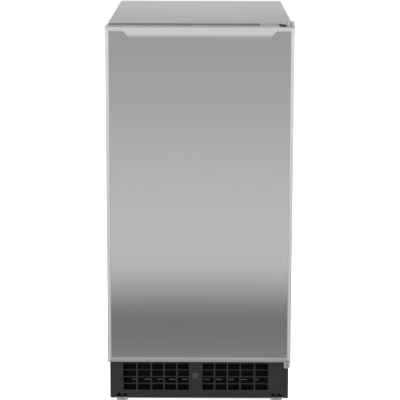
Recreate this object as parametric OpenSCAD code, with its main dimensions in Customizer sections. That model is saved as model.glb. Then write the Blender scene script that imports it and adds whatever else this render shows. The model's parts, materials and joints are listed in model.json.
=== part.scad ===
// Undercounter clear-ice maker, built as an assembly of separate pieces.
// Frame: +Z up, -Y is the front (door side), +X is the hinge side.
// Origin: on the floor, in the middle of the whole object's box. Units are millimetres.

/* [Overall] */
// Width of the door, the widest piece
door_w = 381; // [340:1:460]
// Height of the cabinet's top above the floor
cab_h = 805; // [740:1:880]
// Depth of the cabinet without the door
cab_d = 530; // [480:1:640]
// How far each cabinet side stands in from the door's edge
cab_inset = 2; // [1:0.5:6]
// Gap under the base pan with the feet screwed in
base_z = 9; // [9:1:20]
// Height of the front grille and of the door's lower edge above the base
plinth_h = 91; // [88:1:100]

/* [Shell] */
// Thickness of the painted and stainless sheet
sheet = 1.2; // [0.8:0.1:2]
// Width of the sheet's return round the front opening
return_w = 14; // [10:1:18]
// Outside radius of the wrapper's upper long edges
wrap_r = 4; // [2:0.5:8]
// Insulation beside and above the liner
ins_side = 30; // [24:1:36]
// Insulation behind the liner
ins_back = 35; // [28:1:45]
// Insulation under the liner's floor
ins_floor = 25; // [20:1:32]
// Thickness of the inner liner
liner_t = 2; // [1.5:0.5:3]
// Height of the ice bin's floor
floor_z = 135; // [130:1:150]
// Height of the step over the compressor
hump_z = 235; // [220:1:260]
// Depth of the step at the back of the bin
hump_d = 165; // [140:1:180]

/* [Door] */
// Thickness of the door without its gasket
door_t = 44; // [36:1:56]
// Gap between the door's back and the cabinet
door_gap = 8; // [7:0.5:12]
// How far the door's top sits below the cabinet's top
door_drop = 3.4; // [3.2:0.1:8]
// Width of the side trims seen from the front
trim_side = 8.5; // [6:0.5:12]
// Height of the top trim
trim_top = 8; // [6:0.5:12]
// Height of the bottom trim
trim_bottom = 11.5; // [8:0.5:16]
// Bevel on the trims' outer front edge
trim_bevel = 7; // [2:0.5:7]
// Wall of the trim sections
trim_wall = 1.6; // [1.2:0.1:2.5]
// Handle width at its upper edge
handle_w = 317; // [240:1:330]
// How far the handle lip stands out
handle_reach = 16; // [14:1:24]
// How far the handle lip drops
handle_drop = 18; // [14:1:24]
// Thickness of the handle plate
handle_t = 2.2; // [1.6:0.1:3]

/* [Hinges] */
// Distance of the hinge axis from the door's side edge
hinge_in = 8; // [8:0.5:14]
// Distance of the hinge axis behind the door's face
hinge_back = 16; // [14:0.5:24]
// Radius of the hinge pins
pin_r = 4; // [3:0.5:5]
// Radius of the knuckles round the pins
knuckle_r = 8; // [7:0.5:9]
// Height of the upper pin's head
pin_head_h = 8; // [6:0.5:10]
// Thickness of the hinge brackets
bracket_t = 3; // [2:0.5:4]

/* [Grille] */
// Width of the two outer cells of each bank, bar included
cell_outer = 30.4; // [24:0.1:31]
// Width of the three inner cells of each bank, bar included
cell_inner = 27.1; // [20:0.1:28]
// Height of one row, bar included
cell_h = 15.1; // [12:0.1:16]
// Width of the upright bars
bar_w = 3.4; // [2:0.1:5]
// Height of the level bars
bar_h = 2.1; // [1.5:0.1:4]
// Solid strip between the two banks
bank_gap = 25.5; // [20:0.5:34]
// How far the grille pattern is shifted to the left
grille_shift = 7.5; // [0:0.5:12]
// Thickness of the grille moulding
grille_t = 3; // [2:0.5:5]

/* [Feet] */
// Distance of the feet from the middle, across
foot_x = 164; // [140:1:170]
// Radius of the foot pads
foot_r = 13; // [10:1:18]
// Radius of the threaded studs
stud_r = 4; // [3:0.5:6]
// How far a foot can be screwed out
foot_travel = 20; // [10:1:25]

/* [Ice unit] */
// Width of the freezing plate
evap_w = 250; // [220:5:270]
// Length of the freezing plate, back to front
evap_l = 205; // [180:5:215]
// Forward slope of the freezing plate
evap_tilt = 14; // [8:1:18]
// Outer width of the cutter grid's frame
grid_w = 286; // [250:2:300]
// Outer length of the cutter grid's frame
grid_l = 178; // [150:2:190]
// Forward slope of the cutter grid
grid_tilt = 6; // [0:1:10]
// Spacing of the cutter wires
wire_pitch = 25; // [20:1:35]
// Radius of a cutter wire
wire_r = 0.8; // [0.5:0.1:1.5]
// Height of the water pan
pan_h = 58; // [45:1:70]
// Wall of the water pan
pan_t = 2.5; // [2:0.5:4]

/* [Machinery] */
// Radius of the compressor shell
comp_r = 57; // [50:1:62]
// Height of the compressor shell
comp_h = 132; // [110:1:140]
// Number of condenser fins
fin_count = 24; // [12:1:30]
// Radius of the fan blades
fan_r = 38; // [30:1:40]
// Number of fan blades
blade_count = 5; // [3:1:7]
// Radius of the refrigerant tube
line_r = 3.2; // [2.5:0.1:4]
// Outer radius of the water inlet's threaded end
inlet_r = 5.5; // [5:0.1:8]
// Outer radius of the drain outlet
drain_r = 8; // [6:0.5:10]
// Radius of the hole in the mains cord's gland
gland_r = 4.2; // [3.5:0.1:6]

/* [Controls] */
// Radius of the push buttons
button_r = 6.5; // [5:0.5:9]
// Travel of the push buttons
button_travel = 2; // [1:0.5:3]

/* [Hidden] */
$fn = 48;
EPS = 0.01;
FREE = 0.3;       // air between pieces that move past each other
RUN = 0.06;       // radial clearance of a pin in its bush
FAR = 2000;       // longer than the object, for cutting

// Depths of the main planes, front to back
inlet_out = 12;
total_d = handle_reach + door_t + door_gap + cab_d + inlet_out;
y_door = -total_d / 2 + handle_reach;
y_door_back = y_door + door_t;
y_cab = y_door_back + door_gap;
y_back = y_cab + cab_d;

// Cabinet
cab_w = door_w - 2 * cab_inset;
in_w = cab_w - 2 * sheet;
plinth_z = base_z + plinth_h;
frame_t = 3;
liner_w = in_w - 2 * ins_side;
room_w = liner_w - 2 * liner_t;
room_top = cab_h - sheet - ins_side - liner_t;
room_front = y_cab + frame_t;
room_back = y_back - sheet - ins_back - liner_t;
hump_slope = 30;
hump_y = room_back - hump_d;
hump_a = atan2(hump_z - floor_z, hump_slope);
foam_e = liner_t + ins_floor;

// Door
door_z = plinth_z + 3;
door_top = cab_h - door_drop;
hinge_x = door_w / 2 - hinge_in;
hinge_y = y_door + hinge_back;
bush_r = 7;
bush_h = 14;
gasket_w = 15;
gasket_in = 1.5;

// Grille pattern
cell_rows = 4;    // full rows, under a lower one that ends at grille_rim
grille_rim = 4;   // solid strip above the cells
pattern_z = base_z + 16.8;
grille_top = plinth_z - 1;
bank_w = 2 * cell_outer + 3 * cell_inner;
cell_edges = [0, cell_outer, 2 * cell_outer, 2 * cell_outer + cell_inner, 2 * cell_outer + 2 * cell_inner, bank_w];
row_edges = [for (k = [0 : cell_rows]) k * cell_h, grille_top - grille_rim - pattern_z];
grille_screw_x = cab_w / 2 - 14.4;
grille_screw_z = base_z + 17;
lug_t = 4;

// Base and feet
pan_sheet = 2;
foot_front_y = y_cab + grille_t + foot_r + 1;
notch_drop = 3;   // how far below the grille's edge its foot notches are centred
foot_rear_y = y_back - 30;
pad_h = base_z - FREE;
nut_h = 8;
stud_top = base_z + pan_sheet + nut_h + foot_travel + 4;

// Machine space
mach_z = base_z + pan_sheet;
mach_roof = floor_z - foam_e;
comp_x = -62;
comp_y = room_back - comp_r - 14;
comp_foot_z = mach_z + 14;
cond_x0 = -152;
cond_w = 186;
cond_y0 = y_cab + 26;
cond_d = 46;
cond_h = mach_roof - mach_z - 12;
tube_rows = 4;
cond_tube_z = mach_z + 12;
cond_pitch = (cond_h - 16) / (tube_rows - 1);
cond_rows_y = [cond_y0 + cond_d * 0.28, cond_y0 + cond_d * 0.72];
cond_end = cond_x0 + cond_w;
cond_top = cond_tube_z + (tube_rows - 1) * cond_pitch;
gas_valve_x = comp_x + 102;
gas_valve_y = comp_y + 10;
drier_x = 150;
drier_y = y_cab + 66;
drier_z = 70;
fan_x = -58;
fan_z = mach_z + 46;
shroud_y = cond_y0 + cond_d + 12;
fan_y = shroud_y + 12;
valve_x = 138;
valve_z = 60;
drain_x = 92;
drain_y = -60;
drain_out_z = base_z + 37;
drain_hose_r = drain_r - 0.5;
drain_stub_y = y_back - 8;
port_gap = 1.5;   // room round the water ends for a hose's sleeve
gland_x = -150;
gland_z = 60;

// Ice unit
pan_drop = 301.8;
grid_drop = 211.8;
pan_z = room_top - pan_drop;
pan_w = 270;
pan_y0 = room_back - 6 - evap_l - 12;
pan_l = room_back - 6 - pan_y0;
evap_y1 = room_back - 22;
evap_z1 = room_top - 52;
grid_z = room_top - grid_drop;
grid_y1 = pan_y0 - 6;
grid_frame_h = 26;
pump_x = pan_w / 2 - 44;
stub_x = 80;
stub_l = 16;
stub_r = 5;
hose_r = 3.6;
hose_in_x = pan_w / 2 - pan_t - hose_r - 5;
hose_x = max(pan_w, evap_w) / 2 + hose_r - 1;
stub_foot = evap_point(stub_x, -14, 12);
stub_z = stub_foot[2] + stub_l;
pump_y = stub_foot[1];
pump_z = pan_z + pan_t + 3;
pump_shaft_r = 2.5;
plug_x = -pan_w / 2 + 40;
plug_y = pan_y0 + 40;
fill_x = -pan_w / 2 - 8;
fill_y = room_back - 20;
fill_r = 3.2;

// Controls
ctl_w = room_w - 8;
ctl_h = 60;
ctl_d = 70;
ctl_z = room_top - ctl_h - 1;
ctl_y = room_front + 6;
ctl_t = 2.5;
button_z = ctl_z + ctl_h / 2;
power_x = 70;
clean_x = 100;

// Scoop and its ledge on the left wall
scoop_y0 = -120;
scoop_w = 46;
scoop_h = 44;
scoop_bowl = 92;
scoop_grip = 84;
scoop_t = 2;
scoop_drop = 68;
scoop_z = pan_z - scoop_drop;
ledge_t = 3;
scoop_x0 = -room_w / 2 + ledge_t + 2;

// Box from its lowest corner and its highest corner
module span(a, b) {
    translate(a) cube(b - a);
}

// Upright cylinder between two heights
module post(x, y, z0, z1, r) {
    translate([x, y, z0]) cylinder(h = z1 - z0, r = r);
}

// Cylinder along Y between two depths
module rod_y(x, z, y0, y1, r) {
    translate([x, y0, z]) rotate([-90, 0, 0]) cylinder(h = y1 - y0, r = r);
}

// Cylinder along X between two places
module rod_x(y, z, x0, x1, r) {
    translate([x0, y, z]) rotate([0, 90, 0]) cylinder(h = x1 - x0, r = r);
}

// Extrudes a profile drawn in (Y, Z) across the width, centred
module across(w) {
    translate([-w / 2, 0, 0]) rotate([90, 0, 90]) linear_extrude(w) children();
}

// Extrudes a shape drawn in (X, Z) from y0 back to y1
module back_to(y0, y1) {
    translate([0, y1, 0]) rotate([90, 0, 0]) linear_extrude(y1 - y0) children();
}

// Round tube along a list of points, its bends filled by balls
module pipe(points, r) {
    for (i = [0 : len(points) - 2]) {
        a = points[i];
        d = points[i + 1] - a;
        translate(a) rotate([0, acos(d[2] / norm(d)), atan2(d[1], d[0])]) cylinder(h = norm(d), r = r);
    }
    for (i = [1 : 1 : len(points) - 2]) translate(points[i]) sphere(r = r);
}

// Side outline of the room inside the liner, grown outwards by e
function room_outline(e) = let (s = e * tan(hump_a / 2)) [
    [room_front, floor_z - e], [hump_y + s, floor_z - e], [hump_y + hump_slope + s, hump_z - e],
    [room_back + e, hump_z - e], [room_back + e, room_top + e], [room_front, room_top + e]
];

// Tubes that pass through the insulation and the liner
module wall_holes(extra) {
    post(fill_x, fill_y, mach_z, hump_z + 1, fill_r + extra);
    post(drain_x, drain_y, mach_z, floor_z + 1, drain_r + extra);
    line_chase(suction_path[2], suction_path[3], suction_path[4], line_r + extra);
    line_chase(hot_gas_path[3], hot_gas_path[4], hot_gas_path[4], line_r + extra);
}

// Square channel that takes a refrigerant line up from low to high, across to end, then into the room
module line_chase(low, high, end, e) {
    span([low[0] - e, line_y - e, low[2] - 1], [low[0] + e, line_y + e, high[2] + e]);
    span([min(high[0], end[0]) - e, line_y - e, high[2] - e], [max(high[0], end[0]) + e, line_y + e, high[2] + e]);
    span([end[0] - e, room_back - 1, high[2] - e], [end[0] + e, line_y, high[2] + e]);
}

// World place of a point given in the freezing plate's own frame
function evap_point(x, y, z) = [
    x, evap_y1 + y * cos(evap_tilt) - z * sin(evap_tilt), evap_z1 + y * sin(evap_tilt) + z * cos(evap_tilt)
];

coil_rows = 6;
coil_x = evap_w / 2 - 20;
coil_l = evap_l - 40;
coil_in = evap_point(-coil_x, -18, -line_r - 0.2);
coil_out = evap_point(-coil_x, -18 - coil_l, -line_r - 0.2);
line_y = room_back + 18;
suction_path = [
    [comp_x + 30, comp_y + 20, comp_foot_z + comp_h + 9], [comp_x + 30, comp_y + 20, 197],
    [comp_x + 30, line_y, 197], [comp_x + 30, line_y, coil_in[2]], [coil_in[0] - 10, line_y, coil_in[2]],
    [coil_in[0] - 10, coil_in[1], coil_in[2]], coil_in
];
hot_gas_path = [
    [gas_valve_x, gas_valve_y, 91], [gas_valve_x, gas_valve_y, 184], [gas_valve_x, line_y, 184],
    [coil_out[0] - 26, line_y, 184], [coil_out[0] - 26, line_y, coil_out[2]],
    [coil_out[0] - 26, coil_out[1], coil_out[2]], coil_out
];

// ---------------------------------------------------------------- cabinet

module cabinet_wrapper() {
    color("silver") difference() {
        back_to(y_cab, y_back) wrap_outline(0);
        back_to(y_cab + sheet, y_back + 1) wrap_outline(sheet);
        span([-cab_w / 2 + return_w, y_cab - 1, -1], [cab_w / 2 - return_w, y_cab + sheet + 1, cab_h - return_w]);
        span([-FAR, y_cab - 1, -1], [FAR, y_cab + grille_t, plinth_z]);
    }
}

// Front view of the wrapper, taken in by e on its sides and top
module wrap_outline(e) {
    w = cab_w / 2 - e;
    r = wrap_r - e;
    translate([-w, e > 0 ? -1 : base_z]) square([2 * w, cab_h - e - r - (e > 0 ? -1 : base_z)]);
    translate([-w + r, cab_h - e - 2 * r]) square([2 * (w - r), 2 * r]);
    for (s = [-1, 1]) translate([s * (w - r), cab_h - e - r]) circle(r = r);
}

module rear_panel() {
    color("gainsboro") span([-in_w / 2 + 1, y_back - sheet, plinth_z + 116], [in_w / 2 - 1, y_back, cab_h - sheet - 3]);
}

module rear_service_cover() {
    slot_pitch = 9;
    color("gainsboro") difference() {
        span([-in_w / 2 + 1, y_back - sheet, mach_z + 1], [in_w / 2 - 1, y_back, plinth_z + 115]);
        for (k = [0 : 10], x = [-80, 30]) translate([x, 0, 90 + k * slot_pitch])
            span([-40, y_back - 3, 0], [40, y_back + 1, 4]);
        rod_y(valve_x, valve_z, y_back - 5, y_back + 1, inlet_r + port_gap);
        rod_y(drain_x, drain_out_z, y_back - 5, y_back + 1, drain_r + port_gap);
        rod_y(gland_x, gland_z, y_back - 5, y_back + 1, gland_neck_r);
    }
}

module base_pan() {
    color("dimgray") difference() {
        union() {
            difference() {
                span([-in_w / 2, y_cab + grille_t, base_z], [in_w / 2, y_back - sheet, base_z + 26]);
                span([-in_w / 2 + pan_sheet, y_cab - 1, mach_z],
                     [in_w / 2 - pan_sheet, y_back - sheet - pan_sheet, FAR]);
                span([-FAR, y_cab - 1, mach_z], [FAR, y_cab + 40, FAR]);
            }
            at_feet() cylinder(h = nut_h + pan_sheet, r = stud_r + 4, $fn = 6);
        }
        at_feet() translate([0, 0, -1]) cylinder(h = nut_h + pan_sheet + 2, r = stud_r + RUN);
    }
}

module at_feet() {
    for (x = [-foot_x, foot_x], y = [foot_front_y, foot_rear_y]) translate([x, y, base_z]) children();
}

module cabinet_insulation() {
    color("khaki") difference() {
        across(in_w) polygon([
            [room_front, floor_z - foam_e], [hump_y + foam_e * tan(hump_a / 2), floor_z - foam_e],
            [hump_y + hump_slope + foam_e * tan(hump_a / 2), hump_z - foam_e], [y_back - sheet, hump_z - foam_e],
            [y_back - sheet, cab_h - wrap_r], [room_front, cab_h - wrap_r]
        ]);
        across(liner_w) polygon(room_outline(liner_t));
        wall_holes(0.6);
    }
}

module inner_liner() {
    color("white") difference() {
        across(liner_w) polygon(room_outline(liner_t));
        translate([0, -EPS, 0]) across(room_w) polygon(room_outline(0));
        wall_holes(0.4);
    }
}

module face_frame() {
    w = cab_w - 2 * return_w;
    color("white") difference() {
        span([-w / 2, y_cab, plinth_z], [w / 2, room_front, cab_h - return_w]);
        span([-room_w / 2, y_cab - 1, floor_z], [room_w / 2, room_front + 1, room_top]);
    }
}

// One cell of the grille, measured from the bank's outer edge
module bank_cells() {
    for (c = [0 : len(cell_edges) - 2], k = [0 : len(row_edges) - 2])
        span([cell_edges[c] + bar_w / 2, -1, row_edges[k] + bar_h / 2],
             [cell_edges[c + 1] - bar_w / 2, grille_t + 1, row_edges[k + 1] - bar_h / 2]);
}

module front_grille() {
    mid = -grille_shift;
    color("#333333") difference() {
        union() {
            span([-cab_w / 2, y_cab, base_z], [cab_w / 2, y_cab + grille_t, grille_top]);
            for (s = [-1, 1]) translate([s * (in_w / 2 - 6), 0, 0])
                span([-lug_t, y_cab + grille_t - EPS, mach_z + 1], [lug_t - 2, y_cab + 20, plinth_z - 4]);
        }
        translate([mid - bank_gap / 2, y_cab, pattern_z]) mirror([1, 0, 0]) translate([bank_w, 0, 0])
            mirror([1, 0, 0]) bank_cells();
        translate([mid + bank_gap / 2 + bank_w, y_cab, pattern_z]) mirror([1, 0, 0]) bank_cells();
        rod_y(grille_screw_x, grille_screw_z, y_cab - 1, y_cab + 25, 2.1);
        rod_y(grille_screw_x, grille_screw_z, y_cab - 1, y_cab + 1.2, 4.4);
        for (s = [-1, 1]) rod_y(s * foot_x, base_z - notch_drop, y_cab - 1, y_cab + grille_t + 1, foot_r + 1.5);
    }
}

module levelling_foot(x, y) {
    color("darkgray") {
        translate([x, y, 0]) cylinder(h = 2, r1 = foot_r - 1.5, r2 = foot_r);
        post(x, y, 2, pad_h, foot_r);
        post(x, y, pad_h - EPS, stud_top, stud_r);
    }
}

// ---------------------------------------------------------------- hinges

module top_hinge_bracket() {
    z1 = cab_h;
    z0 = cab_h - bracket_t;
    color("gray") difference() {
        union() {
            translate([0, 0, z0]) linear_extrude(bracket_t) union() {
                polygon([[hinge_x - knuckle_r, hinge_y], [hinge_x + knuckle_r, hinge_y],
                         [hinge_x + knuckle_r - 1, y_cab], [hinge_x - 22, y_cab], [hinge_x - 9, y_cab - 24]]);
                translate([hinge_x, hinge_y]) circle(r = knuckle_r);
            }
            span([hinge_x - 60, y_cab - bracket_t, cab_h - return_w + 1.5], [hinge_x + knuckle_r - 1, y_cab, z1]);
        }
        post(hinge_x, hinge_y, z0 - 1, z1 + 1, pin_r);
        hinge_screw_holes(top_screw_z);
    }
}

pin_cup = 9;    // how deep the lower pin sits in its cup, below the bracket's plate
cup_floor = 3;

module bottom_hinge_bracket() {
    z0 = door_z - FREE - bracket_t;
    cup_z = z0 - pin_cup - cup_floor;
    color("darkgray") difference() {
        union() {
            translate([0, 0, z0]) linear_extrude(bracket_t) union() {
                polygon([[hinge_x - knuckle_r, hinge_y], [hinge_x + knuckle_r, hinge_y],
                         [hinge_x + knuckle_r - 1, y_cab], [hinge_x - 22, y_cab], [hinge_x - 9, y_cab - 24]]);
                translate([hinge_x, hinge_y]) circle(r = knuckle_r);
            }
            translate([hinge_x, hinge_y, cup_z]) cylinder(h = 1.5, r1 = knuckle_r - 2.5, r2 = knuckle_r - 1);
            post(hinge_x, hinge_y, cup_z + 1.5 - EPS, z0 + 1, knuckle_r - 1);
            span([hinge_x - 60, y_cab - bracket_t, z0], [hinge_x + knuckle_r - 1, y_cab, door_z + 13]);
        }
        post(hinge_x, hinge_y, z0 - pin_cup, FAR / 2, pin_r);
        hinge_screw_holes(bottom_screw_z);
    }
}

top_screw_z = cab_h - return_w / 2 - 1;
bottom_screw_z = door_z + 6;
hinge_screw_x = [hinge_x - 50, hinge_x - 28, hinge_x - 6];

module hinge_screw_holes(z) {
    for (x = hinge_screw_x) rod_y(x, z, y_cab - bracket_t - 1, y_cab + 1, 2.2);
}

// Cross-recessed screw lying along Y: head from y0, shank back to y1
module screw(x, z, y0, y1, head_r, head_h, shank_r) {
    difference() {
        union() {
            rod_y(x, z, y0, y0 + head_h, head_r);
            rod_y(x, z, y0 + head_h - EPS, y1, shank_r);
        }
        for (a = [0, 90]) translate([x, y0, z]) rotate([0, a, 0])
            cube([1.2 * head_r, 1.6, 0.25 * head_r], center = true);
    }
}

module cabinet_screws() {
    color("#2a2a2a") {
        for (z = [top_screw_z, bottom_screw_z], x = hinge_screw_x)
            screw(x, z, y_cab - bracket_t - 1.8, y_cab, 3.8, 1.8, 2.1);
        screw(grille_screw_x, grille_screw_z, y_cab - 0.8, y_cab + 16, 4.2, 2, 2);
    }
}

module hinge_pins() {
    z0 = door_z - FREE - bracket_t - pin_cup;
    z1 = cab_h + pin_head_h;
    head_r = knuckle_r - 1;
    color("darkgray") {
        difference() {
            union() {
                post(hinge_x, hinge_y, cab_h, z1 - 1.5, head_r);
                translate([hinge_x, hinge_y, z1 - 1.5]) cylinder(h = 1.5, r1 = head_r, r2 = head_r - 1.5);
                post(hinge_x, hinge_y, door_top - bush_h + 2, cab_h + EPS, pin_r);
            }
            post(hinge_x, hinge_y, z1 - 3, z1 + 1, 2.4);
        }
        post(hinge_x, hinge_y, z0, door_z + bush_h - 2, pin_r);
    }
}

// ---------------------------------------------------------------- door

// Solid block of the door inside its trims, behind the front lip
module door_core(grow, y0, y1) {
    span([-door_w / 2 + trim_wall - grow, y0, door_z + trim_wall - grow],
         [door_w / 2 - trim_wall + grow, y1, door_top - trim_wall + grow]);
}

panel_y = y_door + trim_wall;
panel_t = 1;
door_liner_t = 2;
door_plug = 6;

// Cuts a bevel with legs of the given length off the front edges of a block grown in by e
module front_bevels(leg, e) {
    side = leg * sqrt(2);
    for (s = [-1, 1]) translate([s * (door_w / 2 - e), y_door + e, 0]) rotate([0, 0, 45])
        cube([side, side, FAR], center = true);
    for (z = [door_z + e, door_top - e]) translate([0, y_door + e, z]) rotate([45, 0, 0])
        cube([FAR, side, side], center = true);
}

// Keeps what lies behind the trims one wall away from their bevels
module bevel_relief() {
    front_bevels(trim_bevel - (2 - sqrt(2)) * trim_wall, trim_wall);
}

module trim_ring() {
    difference() {
        span([-door_w / 2, y_door, door_z], [door_w / 2, y_door_back - door_liner_t, door_top]);
        difference() {
            door_core(0, panel_y, FAR);
            bevel_relief();
        }
        span([-door_w / 2 + trim_side, -FAR, door_z + trim_bottom], [door_w / 2 - trim_side, FAR, door_top - trim_top]);
        front_bevels(trim_bevel, 0);
        bush_holes(bush_r);
    }
}

module bush_holes(r) {
    post(hinge_x, hinge_y, door_z - 1, door_z + bush_h, r);
    post(hinge_x, hinge_y, door_top - bush_h, door_top + 1, r);
}

// Keeps one side of the ring, cut along the mitres
module trim_part(points) {
    intersection() {
        trim_ring();
        back_to(y_door - 1, y_door_back + 1) polygon(points);
    }
}

door_l = -door_w / 2;
door_r = door_w / 2;
in_l = door_l + trim_side;
in_r = door_r - trim_side;
in_b = door_z + trim_bottom;
in_t = door_top - trim_top;

module door_side_trims() {
    color("gainsboro") {
        trim_part([[door_l, door_z], [in_l, in_b], [in_l, in_t], [door_l, door_top]]);
        trim_part([[door_r, door_z], [door_r, door_top], [in_r, in_t], [in_r, in_b]]);
    }
}

module door_trim_top() {
    color("gainsboro") trim_part([[door_l, door_top], [in_l, in_t], [in_r, in_t], [door_r, door_top]]);
}

module door_trim_bottom() {
    color("gainsboro") trim_part([[door_l, door_z], [door_r, door_z], [in_r, in_b], [in_l, in_b]]);
}

module door_front_panel() {
    color("lightgray") difference() {
        door_core(0, panel_y, panel_y + panel_t);
        bevel_relief();
    }
}

module door_insulation() {
    color("khaki") difference() {
        door_core(0, panel_y + panel_t, y_door_back - door_liner_t);
        bevel_relief();
        bush_holes(bush_r);
    }
}

module door_inner_liner() {
    plug_in = gasket_w + gasket_in + 4;
    w = room_w / 2 + gasket_in - 8;
    color("white") {
        span([door_l, y_door_back - door_liner_t, door_z], [door_r, y_door_back, door_top]);
        difference() {
            span([-w, y_door_back - EPS, floor_z + 7], [w, y_door_back + door_plug, room_top - 7]);
            span([-w + plug_in, y_door_back + 1, floor_z + 7 + plug_in],
                 [w - plug_in, y_door_back + door_plug + 1, room_top - 7 - plug_in]);
        }
    }
}

module door_gasket() {
    o = gasket_in + gasket_w;
    color("#4a4a4a") difference() {
        span([-room_w / 2 - o, y_door_back, floor_z - o], [room_w / 2 + o, y_cab - FREE, room_top + o]);
        span([-room_w / 2 - gasket_in, -FAR, floor_z - gasket_in], [room_w / 2 + gasket_in, FAR, room_top + gasket_in]);
    }
}

module door_handle() {
    z1 = door_top - trim_bevel - 0.4;
    lip_z = door_top - handle_drop - 0.4;
    lip_y = y_door - handle_reach;
    color("silver") intersection() {
        union() {
            span([-FAR, y_door - handle_t, z1 - 8], [FAR, y_door, z1]);
            span([-FAR, y_door - EPS, z1 - 8], [FAR, panel_y, in_t - FREE]);
            across(FAR) polygon([
                [y_door, z1], [y_door, door_top - trim_bevel], [y_door + trim_bevel - 1, door_top - 1],
                [y_door + trim_bevel - 2, door_top - 0.3], [y_door - 0.6, door_top - 0.6],
                [lip_y + 1.2, lip_z + 5.2], [lip_y + 1.2, lip_z + 5.2 - handle_t], [y_door - handle_t, z1 - 0.5]
            ]);
            span([-FAR, lip_y, lip_z], [FAR, lip_y + handle_t, lip_z + 4]);
            rod_x(lip_y + 1.6, lip_z + 4, -FAR / 2, FAR / 2, 1.6);
        }
        back_to(-FAR, FAR) polygon([
            [-handle_w / 2, door_top + 1], [handle_w / 2, door_top + 1], [handle_w / 2, door_top - 1],
            [handle_w / 2 - handle_drop - 3, door_top - handle_drop - 4],
            [-handle_w / 2 + handle_drop + 3, door_top - handle_drop - 4], [-handle_w / 2, door_top - 1]
        ]);
    }
}

module door_bushings() {
    color("white") for (z = [[door_z, door_z + bush_h], [door_top - bush_h, door_top]]) difference() {
        post(hinge_x, hinge_y, z[0], z[1], bush_r);
        post(hinge_x, hinge_y, z[0] - 1, z[1] + 1, pin_r + RUN);
    }
}

// ---------------------------------------------------------------- machinery

module compressor() {
    z0 = comp_foot_z + 3;
    z1 = z0 + comp_h;
    dome = 34;
    color("#202020") {
        translate([comp_x, comp_y, 0]) rotate_extrude() polygon(concat(
            [[0, z0 + 6], [comp_r - 14, z0 + 6], [comp_r - 4, z0 + 16], [comp_r - 2, z0 + 60],
             [comp_r, z0 + 61], [comp_r, z0 + 67], [comp_r - 3, z0 + 68]],
            [for (a = [0 : 10 : 90]) [(comp_r - 3) * cos(a), z1 - dome + dome * sin(a)]]
        ));
        translate([comp_x, comp_y, z0]) difference() {
            translate([-72, -50, -3]) cube([144, 100, 3]);
            comp_feet() translate([0, 0, -4]) cylinder(h = 6, r = 5);
        }
        post(comp_x, comp_y, z0 - EPS, z0 + 6 + EPS, comp_r - 18);
        rod_x(comp_y, comp_foot_z + 59, comp_x + comp_r - 14, comp_x + comp_r + 2, 12);
        post(comp_x + 30, comp_y + 20, z1 - 20, comp_foot_z + comp_h + 9, line_r + 1.2);
    }
}

module comp_feet() {
    for (x = [-62, 62], y = [-40, 40]) translate([x, y, 0]) children();
}

module compressor_grommets() {
    color("#111111") translate([comp_x, comp_y, 0]) comp_feet() difference() {
        union() {
            translate([0, 0, mach_z]) cylinder(h = comp_foot_z - mach_z, r = 9);
            translate([0, 0, comp_foot_z - EPS]) cylinder(h = 3.5, r = 4.8);
            translate([0, 0, comp_foot_z + 3.2]) cylinder(h = 4, r = 8);
        }
        translate([0, 0, mach_z - 1]) cylinder(h = 30, r = 2.5);
    }
}

module relay_box() {
    x0 = comp_x + comp_r + 2;
    color("#2b2b2b") span([x0, comp_y - 24, comp_foot_z + 30], [x0 + 24, comp_y + 24, comp_foot_z + 88]);
}

module condenser_fins() {
    pitch = (cond_w - 20) / (fin_count - 1);
    color("lightgray") {
        for (k = [0 : fin_count - 1]) translate([cond_x0 + 10 + k * pitch, 0, 0])
            span([-0.4, cond_y0, mach_z + 4], [0.4, cond_y0 + cond_d, mach_z + 4 + cond_h]);
        for (x = [cond_x0 + 4, cond_x0 + cond_w - 5.2])
            span([x, cond_y0 - 3, mach_z], [x + 1.2, cond_y0 + cond_d + 3, mach_z + 6 + cond_h]);
    }
}

// Serpentine of straight runs along X joined by half-turn bends, rows rising by pitch
module serpentine(rows, x0, x1, pitch, r, ends_right = false) {
    for (k = [0 : rows - 1]) rod_x(0, k * pitch, x0, x1, r);
    for (k = [0 : rows - 2]) {
        right = k % 2 == (ends_right ? 1 : 0);
        translate([right ? x1 : x0, 0, (k + 0.5) * pitch]) rotate([90, 0, 0]) rotate([0, 0, right ? -90 : 90])
            rotate_extrude(angle = 180) translate([pitch / 2, 0]) circle(r = r);
    }
}

module condenser_tubing() {
    color("peru") for (y = cond_rows_y)
        translate([0, y, cond_tube_z]) serpentine(tube_rows, cond_x0, cond_x0 + cond_w, cond_pitch, line_r, true);
}

module fan_shroud() {
    color("#2b2b2b") {
        difference() {
            union() {
                span([fan_x - 62, shroud_y, mach_z], [fan_x + 62, shroud_y + 2, mach_roof - 3]);
                rod_y(fan_x, fan_z, shroud_y, shroud_y + 20, fan_r + 5);
            }
            rod_y(fan_x, fan_z, shroud_y - 1, shroud_y + 30, fan_r + 3);
        }
        for (a = [30, 150, 270]) translate([fan_x, 0, fan_z]) rotate([0, a, 0])
            span([19.5, shroud_y + 20 - EPS, -3], [fan_r + 5, shroud_y + 22, 3]);
        difference() {
            rod_y(fan_x, fan_z, shroud_y + 20 - EPS, shroud_y + 22, 20);
            rod_y(fan_x, fan_z, shroud_y + 18, shroud_y + 23, 6);
        }
    }
}

module fan_motor() {
    y0 = shroud_y + 22;
    color("gray") {
        rod_y(fan_x, fan_z, y0, y0 + 30, 18);
        rod_y(fan_x, fan_z, fan_y - 2, y0 + EPS, 2.5);
    }
}

module fan_blade() {
    color("#1e1e1e") translate([fan_x, fan_y, fan_z]) rotate([-90, 0, 0]) difference() {
        union() {
            translate([0, 0, -7]) cylinder(h = 12, r = 10);
            intersection() {
                translate([0, 0, -7]) cylinder(h = 13, r = fan_r);
                for (k = [0 : blade_count - 1]) rotate([0, 0, k * 360 / blade_count]) rotate([32, 0, 0])
                    translate([8, -11, -0.8]) cube([fan_r, 22, 1.6]);
            }
        }
        translate([0, 0, -3]) cylinder(h = 20, r = 2.5 + RUN);
    }
}

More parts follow.
